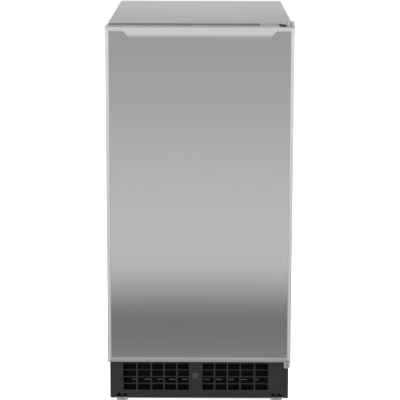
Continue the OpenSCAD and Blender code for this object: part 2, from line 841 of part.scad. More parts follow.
module filter_drier() {
    color("peru") translate([drier_x, drier_y, drier_z]) rotate([-90, 0, 0]) rotate_extrude()
        polygon([[0, 0], [line_r, 0], [line_r, 12], [11, 22], [11, 92], [line_r, 102], [line_r, 114], [0, 114]]);
}

module hot_gas_valve() {
    x = gas_valve_x;
    y = gas_valve_y;
    color("goldenrod") {
        post(x, y, 52, 91, 8);
        rod_x(y, 60, x + 7, x + 20, 5);
    }
    color("#2b2b2b") span([x + 10, y - 14, 64], [x + 40, y + 14, 92]);
}

module refrigerant_lines() {
    yf = cond_rows_y[0];
    yr = cond_rows_y[1];
    color("peru") {
        pipe(suction_path, line_r);
        pipe(hot_gas_path, line_r);
        pipe([[cond_end, yf, cond_tube_z], [cond_end + 14, yf, cond_tube_z], [cond_end + 14, yr, cond_tube_z],
              [cond_end, yr, cond_tube_z]], line_r);
        pipe([[cond_end, yf, cond_top], [drier_x, yf, cond_top], [drier_x, yf, drier_z],
              [drier_x, drier_y, drier_z]], line_r);
        pipe([[cond_end, yr, cond_top], [cond_end + 36, yr, cond_top], [cond_end + 36, 10, cond_top],
              [cond_end + 36, 10, 30], [gas_valve_x, 10, 30], [gas_valve_x, gas_valve_y, 30],
              [gas_valve_x, gas_valve_y, 52]], line_r);
    }
}

// ---------------------------------------------------------------- water side

gland_neck_r = gland_r + 4;

module water_inlet_valve() {
    y1 = y_back + inlet_out;
    color("ivory") difference() {
        union() {
            span([valve_x - 14, y_back - 46, valve_z - 14], [valve_x + 14, y_back - 12, valve_z + 12]);
            rod_y(valve_x, valve_z, y_back - 13, y1, inlet_r);
            rod_y(valve_x, valve_z, y_back - 12 - EPS, y_back - sheet, inlet_r + 6.5);
            post(valve_x, y_back - 30, valve_z + 11, valve_z + 40, 12);
            rod_x(y_back - 30, valve_z, valve_x - 26, valve_x - 13, 5);
        }
        rod_y(valve_x, valve_z, y_back - 20, y1 + 1, inlet_r - 2.3);
    }
}

module water_fill_tube() {
    color("whitesmoke") difference() {
        pipe([[valve_x - 26, y_back - 30, valve_z], [fill_x, y_back - 30, valve_z],
              [fill_x, fill_y, valve_z], [fill_x, fill_y, pan_z + pan_h + 12],
              [fill_x + 30, fill_y, pan_z + pan_h + 12], [fill_x + 30, fill_y, pan_z + pan_h - 12]], fill_r);
        post(fill_x + 30, fill_y, pan_z + pan_h - 20, pan_z + pan_h + 6, fill_r - 1.2);
    }
}

module drain_tube() {
    y1 = y_back + inlet_out - 2;
    bore_r = drain_r - 2;
    color("lightgray") difference() {
        union() {
            post(drain_x, drain_y, drain_out_z, floor_z, drain_hose_r);
            translate([drain_x, drain_y, drain_out_z]) sphere(r = drain_hose_r);
            rod_y(drain_x, drain_out_z, drain_y, y1, drain_hose_r);
            rod_y(drain_x, drain_out_z, drain_stub_y, y1, drain_r);
        }
        post(drain_x, drain_y, drain_out_z, floor_z + 1, bore_r);
        rod_y(drain_x, drain_out_z, drain_y, y1 + 1, bore_r);
    }
}

module drain_strainer() {
    color("gainsboro") difference() {
        post(drain_x, drain_y, floor_z, floor_z + 2.5, drain_r + 8);
        for (a = [0 : 60 : 300]) translate([drain_x, drain_y, floor_z]) rotate([0, 0, a])
            translate([2.5, -1, -1]) cube([8, 2, 5]);
    }
}

module cord_gland() {
    color("#1a1a1a") difference() {
        union() {
            rod_y(gland_x, gland_z, y_back - 6, y_back + EPS, gland_neck_r);
            rod_y(gland_x, gland_z, y_back, y_back + 5, gland_neck_r + 3);
            rod_y(gland_x, gland_z, y_back - 9, y_back - 3, gland_neck_r + 2);
        }
        rod_y(gland_x, gland_z, y_back - 20, y_back + 20, gland_r);
    }
}

// Local frame of the freezing plate: origin at its upper back edge, -Y down the slope
module on_evap() {
    translate([0, evap_y1, evap_z1]) rotate([evap_tilt, 0, 0]) children();
}

module evaporator_plate() {
    color("silver") on_evap() {
        span([-evap_w / 2, -evap_l, 0], [evap_w / 2, 0, 1.5]);
        for (s = [-1, 1]) translate([s * (evap_w / 2 - 0.75), 0, 0]) span([-0.75, -evap_l, 1.5 - EPS], [0.75, 0, 16]);
        span([-evap_w / 2, -1.5, 1.5 - EPS], [evap_w / 2, 0, 16]);
    }
}

module evaporator_coil() {
    color("peru") on_evap() translate([0, -18, -line_r - 0.2]) rotate([90, 0, 0])
        serpentine(coil_rows, -coil_x, coil_x, coil_l / (coil_rows - 1), line_r);
}

module water_distributor() {
    color("whitesmoke") on_evap() difference() {
        union() {
            rod_x(-14, 12, -evap_w / 2 + 4, evap_w / 2 - 4, 6);
            rod_x(-14, 12, evap_w / 2 - 4 - EPS, evap_w / 2 - 2, 7.5);
            rod_x(-14, 12, -evap_w / 2 + 2, -evap_w / 2 + 4 + EPS, 7.5);
            translate([stub_x, -14, 12]) rotate([-evap_tilt, 0, 0]) cylinder(h = stub_l, r = stub_r);
        }
        rod_x(-14, 12, -evap_w / 2 + 6, evap_w / 2 - 6, 4.5);
        for (k = [-7 : 7]) translate([k * 15, -14, 12]) rotate([60, 0, 0]) cylinder(h = 10, r = 1.2);
    }
}

module pump_hose() {
    color("whitesmoke") pipe([
        [pump_x + 24, pump_y, pump_z + 8], [hose_in_x, pump_y, pump_z + 8], [hose_in_x, pump_y, pan_z + pan_h + 20],
        [hose_x, pump_y, pan_z + pan_h + 20], [hose_x, pump_y, stub_z + 14], [stub_x, pump_y, stub_z + 14],
        [stub_x, pump_y, stub_z]
    ], hose_r);
}

module water_pan() {
    color("white") difference() {
        span([-pan_w / 2, pan_y0, pan_z], [pan_w / 2, pan_y0 + pan_l, pan_z + pan_h]);
        span([-pan_w / 2 + pan_t, pan_y0 + pan_t, pan_z + pan_t],
             [pan_w / 2 - pan_t, pan_y0 + pan_l - pan_t, pan_z + pan_h + 1]);
        post(plug_x, plug_y, pan_z - 1, pan_z + pan_t + 1, 8 + RUN);
    }
}

module pump_motor() {
    z1 = pan_z + pan_h + 6;
    cavity_r = 17;
    color("#e8e8e8") difference() {
        union() {
            post(pump_x, pump_y, pump_z, pump_z + 17, cavity_r + 4);
            post(pump_x, pump_y, pump_z + 16, z1, 7);
            post(pump_x, pump_y, z1 - EPS, z1 + 38, 21);
            rod_x(pump_y, pump_z + 8, pump_x + 18, pump_x + 24, 4.6);
            span([pump_x - 30, pump_y + 10, z1], [pump_x + 30, pan_y0 + pan_l + 3, z1 + 3]);
            span([pump_x - 30, pan_y0 + pan_l - pan_t, pan_z + pan_h], [pump_x + 30, pan_y0 + pan_l + 3, z1 + EPS]);
        }
        post(pump_x, pump_y, pump_z - 1, pump_z + 13, cavity_r);
        post(pump_x, pump_y, pump_z + 10, z1 + 20, pump_shaft_r + RUN);
    }
}

module pump_impeller() {
    z0 = pump_z + 1;
    color("gray") {
        post(pump_x, pump_y, z0, z0 + 2, 14.5);
        for (a = [0 : 60 : 300]) translate([pump_x, pump_y, z0]) rotate([0, 0, a])
            translate([2, -0.8, 1.9]) cube([12, 1.6, 7]);
        post(pump_x, pump_y, z0, pan_z + pan_h + 22, pump_shaft_r);
    }
}

module pan_drain_plug() {
    color("#33475b") {
        post(plug_x, plug_y, pan_z, pan_z + pan_t + 1.5, 8);
        post(plug_x, plug_y, pan_z - 5, pan_z - FREE, 11);
        post(plug_x, plug_y, pan_z - FREE - EPS, pan_z + EPS, 8);
        span([plug_x - 10, plug_y - 1.5, pan_z - 14], [plug_x + 10, plug_y + 1.5, pan_z - 5 + EPS]);
    }
}

// Local frame of the cutter grid: origin at its upper back edge, -Y down the slope
module on_grid() {
    translate([0, grid_y1, grid_z]) rotate([grid_tilt, 0, 0]) children();
}

grid_wall = 7;

module cutter_grid_frame() {
    color("whitesmoke") on_grid() difference() {
        span([-grid_w / 2, -grid_l, 0], [grid_w / 2, 0, grid_frame_h]);
        span([-grid_w / 2 + grid_wall, -grid_l + grid_wall, -1], [grid_w / 2 - grid_wall, -grid_wall, grid_frame_h + 1]);
    }
}

module cutter_grid_wires() {
    w = grid_w / 2 - grid_wall;
    l = grid_l - 2 * grid_wall;
    nx = floor((2 * w - 6) / wire_pitch / 2);
    ny = floor((l - 6) / wire_pitch);
    y0 = (l - ny * wire_pitch) / 2;
    color("silver") on_grid() translate([0, -grid_wall, 0]) {
        for (k = [-nx : nx]) rod_y(k * wire_pitch, 15, -l, 0, wire_r);
        for (k = [0 : ny]) rod_x(-y0 - k * wire_pitch, 20, -w, w, wire_r);
    }
}

// Wall plates that carry the cutter grid, the water pan and the freezing plate
module unit_rails() {
    w = room_w / 2;
    color("gainsboro") for (s = [0, 1]) mirror([s, 0, 0]) {
        span([w - 2.5, grid_y1 - grid_l, pan_z - 3], [w, room_back - 4, grid_z + 40]);
        span([pan_w / 2 - 8, pan_y0 + 8, pan_z - 3], [w - 2.5 + EPS, room_back - 44, pan_z]);
        on_grid() span([grid_w / 2 - 6, -grid_l + 8, -3], [w - 2.5 + EPS, -8, 0]);
        on_evap() span([evap_w / 2, -130, 4], [w, -104, 12]);
        span([w - 2.5, evap_y1 - 130, grid_z + 30], [w, evap_y1 - 100, evap_z1 - 20]);
    }
}

module splash_cover() {
    y0 = ctl_y + ctl_d;
    w = room_w / 2 - 6;
    z1 = ctl_z + 30;
    z0 = grid_z + grid_frame_h + 8;
    color("white") difference() {
        union() {
            span([-w, y0, z0], [w, y0 + 2.5, z1]);
            for (s = [-1, 1]) translate([s * (w - 1.25), 0, 0]) span([-1.25, y0, z0], [1.25, y0 + 28, z1]);
        }
        for (k = [-5 : 5]) span([k * 22 - 8, y0 - 1, z0 + 26], [k * 22 + 8, y0 + 3, z0 + 30]);
    }
}

// ---------------------------------------------------------------- controls

module control_housing() {
    color("white") difference() {
        span([-ctl_w / 2, ctl_y, ctl_z], [ctl_w / 2, ctl_y + ctl_d, ctl_z + ctl_h]);
        span([-ctl_w / 2 + ctl_t, ctl_y + ctl_t, ctl_z + ctl_t],
             [ctl_w / 2 - ctl_t, ctl_y + ctl_d - ctl_t, ctl_z + ctl_h - ctl_t]);
        for (x = [power_x, clean_x]) rod_y(x, button_z, ctl_y - 1, ctl_y + ctl_t + 1, button_r + FREE);
        span([-60, ctl_y + 18, ctl_z - 1], [60, ctl_y + 48, ctl_z + ctl_t + 1]);
    }
}

module control_board() {
    y0 = ctl_y + ctl_t + 8;
    color("darkgreen") {
        span([-20, y0, ctl_z + 8], [ctl_w / 2 - 12, y0 + 1.6, ctl_z + ctl_h - 8]);
        for (x = [power_x, clean_x]) span([x - 3, y0 - 3, button_z - 3], [x + 3, y0 + EPS, button_z + 3]);
        span([0, y0 + 1.6 - EPS, ctl_z + 16], [34, y0 + 30, ctl_z + 44]);
        for (x = [45, 56, 67]) rod_y(x, button_z + 8, y0 + 1.5, y0 + 16, 4);
        for (x = [-12, 50, 130]) rod_y(x, ctl_z + 14, ctl_y + ctl_t, y0 + EPS, 3);
    }
}

module light_lens() {
    color("aliceblue") {
        span([-64, ctl_y + 14, ctl_z + ctl_t], [64, ctl_y + 52, ctl_z + ctl_t + 2]);
        span([-60 + FREE, ctl_y + 18 + FREE, ctl_z - 1], [60 - FREE, ctl_y + 48 - FREE, ctl_z + ctl_t + EPS]);
    }
}

module push_button(x) {
    color("lightgray") {
        rod_y(x, button_z, ctl_y - button_travel - 0.6, ctl_y + ctl_t + 1, button_r);
        rod_y(x, button_z, ctl_y + ctl_t + FREE, ctl_y + ctl_t + 1.5, button_r + 1.5);
    }
}

// ---------------------------------------------------------------- scoop

module ice_scoop() {
    x0 = scoop_x0;
    z0 = scoop_z;
    grip_y = scoop_y0 + scoop_bowl;
    color("#dfe7ee") {
        difference() {
            span([x0, scoop_y0, z0], [x0 + scoop_w, grip_y, z0 + scoop_h]);
            span([x0 + scoop_t, scoop_y0 - 1, z0 + scoop_t], [x0 + scoop_w - scoop_t, grip_y - scoop_t, z0 + scoop_h + 1]);
            translate([0, scoop_y0, z0 + scoop_h]) rotate([-40, 0, 0]) span([-FAR, -60, 0], [FAR, 60, 60]);
        }
        difference() {
            span([x0 + scoop_w / 2 - 9, grip_y - EPS, z0 + 22], [x0 + scoop_w / 2 + 9, grip_y + scoop_grip, z0 + 36]);
            post(x0 + scoop_w / 2, grip_y + scoop_grip - 12, z0, z0 + 60, 4.5);
        }
    }
}

// Ledge on the left wall that carries the scoop
module scoop_ledge() {
    x1 = scoop_x0 + scoop_w + 4;
    y0 = scoop_y0 - 4;
    y1 = scoop_y0 + scoop_bowl + 4;
    z0 = scoop_z - FREE - ledge_t;
    color("white") {
        span([-room_w / 2, y0, z0], [x1, y1, z0 + ledge_t]);
        span([x1 - EPS, y0, z0], [x1 + ledge_t, y1, z0 + 16]);
    }
}

cabinet_wrapper();
rear_panel();
rear_service_cover();
base_pan();
cabinet_insulation();
inner_liner();
face_frame();
front_grille();
cabinet_screws();
top_hinge_bracket();
bottom_hinge_bracket();
hinge_pins();
door_front_panel();
door_side_trims();
door_trim_top();
door_trim_bottom();
door_handle();
door_insulation();
door_inner_liner();
door_gasket();
door_bushings();
levelling_foot(-foot_x, foot_front_y);  // foot_front_left
levelling_foot(foot_x, foot_front_y);  // foot_front_right
levelling_foot(-foot_x, foot_rear_y);  // foot_rear_left
levelling_foot(foot_x, foot_rear_y);  // foot_rear_right
compressor();
compressor_grommets();
relay_box();
condenser_fins();
condenser_tubing();
fan_shroud();
fan_motor();
fan_blade();
filter_drier();
hot_gas_valve();
refrigerant_lines();
water_inlet_valve();
water_fill_tube();
drain_tube();
drain_strainer();
cord_gland();
evaporator_plate();
evaporator_coil();
water_distributor();
pump_hose();
water_pan();
pump_motor();
pump_impeller();
pan_drain_plug();
cutter_grid_frame();
cutter_grid_wires();
unit_rails();
splash_cover();
control_housing();
control_board();
light_lens();
push_button(power_x);  // power_button
push_button(clean_x);  // clean_button
scoop_ledge();
ice_scoop();
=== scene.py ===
"""Studio model of a slim undercounter ice maker, dressed around its fixed frame."""

import json
import logging
import math
from dataclasses import dataclass
from enum import Enum
from typing import Dict, Optional, Sequence, Tuple

import bmesh
import bpy
from mathutils import Euler, Matrix, Vector


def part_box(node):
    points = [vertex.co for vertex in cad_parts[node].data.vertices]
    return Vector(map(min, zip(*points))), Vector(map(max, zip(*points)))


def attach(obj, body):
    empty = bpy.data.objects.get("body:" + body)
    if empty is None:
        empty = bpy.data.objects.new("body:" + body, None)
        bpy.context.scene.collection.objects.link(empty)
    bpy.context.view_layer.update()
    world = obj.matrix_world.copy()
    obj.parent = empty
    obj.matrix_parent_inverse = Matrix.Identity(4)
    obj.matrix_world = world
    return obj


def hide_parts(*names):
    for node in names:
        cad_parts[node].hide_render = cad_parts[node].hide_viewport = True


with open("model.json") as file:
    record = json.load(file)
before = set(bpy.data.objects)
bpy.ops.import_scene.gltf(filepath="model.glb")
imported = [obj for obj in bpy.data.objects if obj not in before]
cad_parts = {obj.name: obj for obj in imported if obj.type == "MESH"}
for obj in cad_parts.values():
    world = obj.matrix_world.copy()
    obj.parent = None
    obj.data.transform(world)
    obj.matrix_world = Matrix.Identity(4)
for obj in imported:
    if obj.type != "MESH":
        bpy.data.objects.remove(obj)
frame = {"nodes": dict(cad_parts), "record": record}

LOG = logging.getLogger("ice_maker")
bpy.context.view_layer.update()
MM = 0.001

Vec3 = Tuple[float, float, float]
Colour = Tuple[float, float, float]


class Grain(Enum):
    """How the surface of a finish is worked."""

    UPRIGHT = "brushed up and down"
    LEVEL = "brushed across"
    PEBBLE = "fine moulded pebble"
    ENAMEL = "slight orange peel"
    FOAM = "open foam cells"


# Stretch of the surface noise along X, Y and Z, in noise periods per metre
GRAIN_STRETCH: Dict[Grain, Vec3] = {
    Grain.UPRIGHT: (2600.0, 2600.0, 14.0),
    Grain.LEVEL: (14.0, 2600.0, 2600.0),
    Grain.PEBBLE: (1500.0, 1500.0, 1500.0),
    Grain.ENAMEL: (420.0, 420.0, 420.0),
    Grain.FOAM: (260.0, 260.0, 260.0),
}


class NodeGroups:
    """Surface effects that several finishes share, each built once."""

    def __init__(self) -> None:
        """Builds the shared groups."""
        self.surface = self._surface_texture()
        self.handling = self._handling_marks()

    @staticmethod
    def _start(name: str, inputs: Sequence[Tuple[str, str, object]],
               outputs: Sequence[Tuple[str, str]]) -> bpy.types.NodeTree:
        """Makes an empty shader group with its sockets.

        Args:
            name: the group's name.
            inputs: name, socket type and default of each input.
            outputs: name and socket type of each output.

        Returns:
            The new node tree.
        """
        tree = bpy.data.node_groups.new(name, "ShaderNodeTree")
        for label, kind, default in inputs:
            socket = tree.interface.new_socket(label, in_out="INPUT", socket_type=kind)
            socket.default_value = default
        for label, kind in outputs:
            tree.interface.new_socket(label, in_out="OUTPUT", socket_type=kind)
        return tree

    def _surface_texture(self) -> bpy.types.NodeTree:
        """Stretched two-octave noise that gives a height and a tint mask.

        Returns:
            The group, with outputs Height and Mask.
        """
        tree = self._start(
            "worked_surface",
            [("Stretch", "NodeSocketVector", (1000.0, 1000.0, 1000.0)), ("Detail", "NodeSocketFloat", 3.0)],
            [("Height", "NodeSocketFloat"), ("Mask", "NodeSocketFloat")],
        )
        nodes, links = tree.nodes, tree.links
        given, result = nodes.new("NodeGroupInput"), nodes.new("NodeGroupOutput")
        place = nodes.new("ShaderNodeTexCoord")
        stretch = nodes.new("ShaderNodeVectorMath")
        stretch.operation = "MULTIPLY"
        fine, broad = nodes.new("ShaderNodeTexNoise"), nodes.new("ShaderNodeTexNoise")
        fine.inputs["Scale"].default_value = 1.0
        broad.inputs["Scale"].default_value = 0.18
        broad.inputs["Detail"].default_value = 1.0
        links.new(place.outputs["Object"], stretch.inputs[0])
        links.new(given.outputs["Stretch"], stretch.inputs[1])
        links.new(given.outputs["Detail"], fine.inputs["Detail"])
        for noise in (fine, broad):
            links.new(stretch.outputs[0], noise.inputs["Vector"])
        mix = nodes.new("ShaderNodeMath")
        mix.operation = "MULTIPLY_ADD"
        mix.inputs[1].default_value = 0.5
        half = nodes.new("ShaderNodeMath")
        half.operation = "MULTIPLY"
        half.inputs[1].default_value = 0.5
        links.new(fine.outputs["Fac"], mix.inputs[0])
        links.new(broad.outputs["Fac"], half.inputs[0])
        links.new(half.outputs[0], mix.inputs[2])
        links.new(mix.outputs[0], result.inputs["Height"])
        links.new(fine.outputs["Fac"], result.inputs["Mask"])
        return tree

    def _handling_marks(self) -> bpy.types.NodeTree:
        """Soft smudges that change the roughness a little from place to place.

        Returns:
            The group, with output Roughness.
        """
        tree = self._start(
            "handling_marks",
            [("Base", "NodeSocketFloat", 0.4), ("Spread", "NodeSocketFloat", 0.1),
             ("Scale", "NodeSocketFloat", 9.0)],
            [("Roughness", "NodeSocketFloat")],
        )
        nodes, links = tree.nodes, tree.links
        given, result = nodes.new("NodeGroupInput"), nodes.new("NodeGroupOutput")
        place, noise = nodes.new("ShaderNodeTexCoord"), nodes.new("ShaderNodeTexNoise")
        noise.inputs["Detail"].default_value = 4.0
        centred, scaled, total = (nodes.new("ShaderNodeMath") for _ in range(3))
        centred.operation, scaled.operation, total.operation = "SUBTRACT", "MULTIPLY", "ADD"
        centred.inputs[1].default_value = 0.5
        links.new(place.outputs["Object"], noise.inputs["Vector"])
        links.new(given.outputs["Scale"], noise.inputs["Scale"])
        links.new(noise.outputs["Fac"], centred.inputs[0])
        links.new(centred.outputs[0], scaled.inputs[0])
        links.new(given.outputs["Spread"], scaled.inputs[1])
        links.new(scaled.outputs[0], total.inputs[0])
        links.new(given.outputs["Base"], total.inputs[1])
        links.new(total.outputs[0], result.inputs["Roughness"])
        return tree


@dataclass(frozen=True)
class Finish:
    """One surface finish, from its colour to the grain that a close look shows."""

    name: str
    colour: Colour
    roughness: float
    grain: Grain = Grain.PEBBLE
    metallic: float = 0.0
    tint_spread: float = 0.05
    rough_spread: float = 0.08
    bump: float = 0.08
    bump_depth: float = 0.0002
    coat: float = 0.0
    transmission: float = 0.0

    def build(self, groups: NodeGroups) -> bpy.types.Material:
        """Makes the material.

        Args:
            groups: the shared node groups.

        Returns:
            The finished material.
        """
        material = bpy.data.materials.new(self.name)
        material.use_nodes = True
        nodes, links = material.node_tree.nodes, material.node_tree.links
        shader = nodes["Principled BSDF"]
        shader.inputs["Metallic"].default_value = self.metallic
        shader.inputs["Coat Weight"].default_value = self.coat
        shader.inputs["Coat Roughness"].default_value = 0.08
        shader.inputs["Transmission Weight"].default_value = self.transmission
        surface, marks = nodes.new("ShaderNodeGroup"), nodes.new("ShaderNodeGroup")
        surface.node_tree, marks.node_tree = groups.surface, groups.handling
        surface.inputs["Stretch"].default_value = GRAIN_STRETCH[self.grain]
        marks.inputs["Base"].default_value = self.roughness
        marks.inputs["Spread"].default_value = self.rough_spread
        tint = nodes.new("ShaderNodeMix")
        tint.data_type = "RGBA"
        shades = (1 - self.tint_spread, 1 + self.tint_spread)
        dark, light = (tuple(min(1.0, c * shade) for c in self.colour) + (1.0,) for shade in shades)
        tint.inputs["A"].default_value = dark
        tint.inputs["B"].default_value = light
        bump = nodes.new("ShaderNodeBump")
        bump.inputs["Strength"].default_value = self.bump
        bump.inputs["Distance"].default_value = self.bump_depth
        links.new(surface.outputs["Mask"], tint.inputs["Factor"])
        links.new(tint.outputs["Result"], shader.inputs["Base Color"])
        links.new(marks.outputs["Roughness"], shader.inputs["Roughness"])
        links.new(surface.outputs["Height"], bump.inputs["Height"])
        links.new(bump.outputs["Normal"], shader.inputs["Normal"])
        return material


FINISHES: Tuple[Finish, ...] = (
    Finish("brushed_stainless", (0.62, 0.62, 0.615), 0.075, Grain.UPRIGHT, 1.0, 0.05, 0.01, 0.03, 0.00003),
    Finish("trim_metal", (0.74, 0.74, 0.735), 0.22, Grain.UPRIGHT, 1.0, 0.03, 0.04, 0.06, 0.00005),
    Finish("painted_cabinet", (0.165, 0.165, 0.163), 0.42, Grain.ENAMEL, 0.0, 0.03, 0.06, 0.10, 0.0001, 0.25),
    Finish("galvanised", (0.56, 0.57, 0.58), 0.46, Grain.ENAMEL, 0.8, 0.12, 0.14, 0.10),
    Finish("base_steel", (0.035, 0.035, 0.037), 0.50, Grain.ENAMEL, 0.0, 0.10, 0.10),
    Finish("foam", (0.78, 0.68, 0.40), 0.90, Grain.FOAM, 0.0, 0.12, 0.05, 0.40, 0.0006),
    Finish("liner_plastic", (0.64, 0.66, 0.67), 0.32, Grain.ENAMEL, 0.0, 0.02, 0.06, 0.08, 0.0001, 0.2),
    Finish("grille_plastic", (0.011, 0.011, 0.0115), 0.42, Grain.PEBBLE, 0.0, 0.15, 0.10, 0.15),
    Finish("hinge_steel", (0.022, 0.022, 0.023), 0.40, Grain.ENAMEL, 0.0, 0.10, 0.08),
    Finish("pin_steel", (0.56, 0.56, 0.555), 0.32, Grain.LEVEL, 1.0, 0.05, 0.08),
    Finish("screw_steel", (0.30, 0.30, 0.31), 0.36, Grain.LEVEL, 1.0, 0.06, 0.08),
    Finish("gasket_rubber", (0.11, 0.11, 0.115), 0.62, Grain.PEBBLE, 0.0, 0.10, 0.08),
    Finish("bush_nylon", (0.80, 0.79, 0.75), 0.42, Grain.PEBBLE),
    Finish("foot_steel", (0.50, 0.50, 0.50), 0.38, Grain.LEVEL, 0.9, 0.06, 0.08),
    Finish("compressor_black", (0.012, 0.012, 0.012), 0.28, Grain.ENAMEL, 0.0, 0.10, 0.10, 0.14, 0.0002, 0.5),
    Finish("black_rubber", (0.02, 0.02, 0.02), 0.72, Grain.PEBBLE),
    Finish("black_plastic", (0.025, 0.025, 0.027), 0.48, Grain.PEBBLE, 0.0, 0.12, 0.10),
    Finish("condenser_black", (0.012, 0.012, 0.013), 0.55, Grain.ENAMEL, 0.0, 0.10, 0.10),
    Finish("copper", (0.72, 0.36, 0.22), 0.30, Grain.ENAMEL, 1.0, 0.14, 0.14),
    Finish("motor_steel", (0.36, 0.36, 0.37), 0.42, Grain.ENAMEL, 0.9, 0.08, 0.08),
    Finish("brass_body", (0.74, 0.56, 0.26), 0.34, Grain.ENAMEL, 1.0, 0.08, 0.10),
    Finish("white_plastic", (0.62, 0.62, 0.605), 0.38, Grain.PEBBLE, 0.0, 0.03, 0.06),
    Finish("clear_tube", (0.80, 0.84, 0.86), 0.22, Grain.ENAMEL, 0.0, 0.03, 0.05, 0.04, 0.0001, 0.0, 0.35),
    Finish("drain_grey", (0.50, 0.51, 0.52), 0.52, Grain.PEBBLE),
    Finish("evaporator_steel", (0.72, 0.73, 0.74), 0.24, Grain.LEVEL, 1.0, 0.04, 0.06),
    Finish("wire_steel", (0.66, 0.66, 0.67), 0.22, Grain.ENAMEL, 1.0, 0.03, 0.05),
    Finish("plug_blue", (0.05, 0.10, 0.20), 0.56, Grain.PEBBLE),
    Finish("board_green", (0.02, 0.14, 0.05), 0.36, Grain.PEBBLE, 0.0, 0.10, 0.08, 0.08, 0.0002, 0.3),
    Finish("lens_clear", (0.86, 0.93, 0.97), 0.16, Grain.ENAMEL, 0.0, 0.02, 0.03, 0.04, 0.0001, 0.0, 0.6),
    Finish("button_grey", (0.52, 0.54, 0.56), 0.34, Grain.PEBBLE, 0.0, 0.04, 0.06),
    Finish("scoop_plastic", (0.62, 0.74, 0.84), 0.24, Grain.PEBBLE, 0.0, 0.04, 0.06, 0.06, 0.0002, 0.2),
    # Near-black foam: painted shade, so the grille's openings read as dark shade
    Finish("painted_shade_foam", (0.003, 0.003, 0.003), 0.92, Grain.FOAM, 0.0, 0.20, 0.05, 0.30, 0.0004),
    Finish("badge_grey", (0.042, 0.042, 0.043), 0.34, Grain.ENAMEL, 0.0, 0.05, 0.04),
    Finish("fascia_dark", (0.030, 0.032, 0.035), 0.26, Grain.ENAMEL, 0.0, 0.08, 0.05, 0.05, 0.0001, 0.4),
    Finish("lamp_amber", (0.80, 0.42, 0.10), 0.22, Grain.ENAMEL, 0.0, 0.04, 0.04),
)


class Workshop:
    """Makes pieces, dresses them and reports them."""

    def __init__(self) -> None:
        """Builds every finish."""
        groups = NodeGroups()
        self.materials = {finish.name: finish.build(groups) for finish in FINISHES}
        self.repeater = Repeater()
        self.slot_of = {row["node"]: row["material_slot"] for row in frame["record"]["subparts"]}
        bodies = frame["record"]["behaviour"]["bodies"]
        self.body_of = {node: body for body, held in bodies.items() for node in held}
        self.count = 0

    def keep_nodes(self) -> None:
        """Gives every shown frame node the finish of its own slot."""
        for name, node in frame["nodes"].items():
            node.data.materials.clear()
            node.data.materials.append(self.materials[self.slot_of[name]])

    def add(self, mesh: bpy.types.Mesh, name: str, body: str, finish: str, slot: Optional[str] = None,
            replaces: Sequence[str] = ()) -> bpy.types.Object:
        """Puts a finished mesh into the scene.

        Args:
            mesh: the mesh, already in its place.
            name: the piece's name.
            body: the body that it rides on.
            finish: the finish's name.
            slot: the record's slot, if it isn't the finish's own name; not used.
            replaces: frame nodes that the piece stands for.

        Returns:
            The new object.
        """
        mesh.name = name
        mesh.materials.clear()
        mesh.materials.append(self.materials[finish])
        piece = bpy.data.objects.new(name, mesh)
        bpy.context.scene.collection.objects.link(piece)
        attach(piece, body)
        if replaces:
            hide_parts(*replaces)
        self.count += 1
        LOG.info("%s rides on %s, %d faces", name, body, len(mesh.polygons))
        return piece

    def soften(self, node: str, width: float, segments: int = 2, angle: float = 30.0) -> bpy.types.Object:
        """Replaces a frame node by a copy whose edges are rounded.

        Args:
            node: the frame node.
            width: the rounding's width, in metres.
            segments: the rounding's steps.
            angle: the smallest edge angle that is rounded, in degrees.

        Returns:
            The new object.
        """
        shape = bmesh.new()
        shape.from_mesh(frame["nodes"][node].data)
        bmesh.ops.remove_doubles(shape, verts=shape.verts, dist=1e-6)
        bmesh.ops.dissolve_limit(shape, angle_limit=math.radians(0.6), verts=shape.verts, edges=shape.edges)
        mesh = bpy.data.meshes.new(node)
        shape.to_mesh(mesh)
        shape.free()
        mesh.shade_smooth()
        mesh.set_sharp_from_angle(angle=math.radians(angle))
        piece = self.add(mesh, node + "_rounded", self.body_of[node], self.slot_of[node], replaces=(node,))
        bevel = piece.modifiers.new("edge_round", "BEVEL")
        bevel.width = width
        bevel.segments = segments
        bevel.limit_method = "ANGLE"
        bevel.angle_limit = math.radians(angle)
        bevel.use_clamp_overlap = True
        bevel.harden_normals = False
        return piece


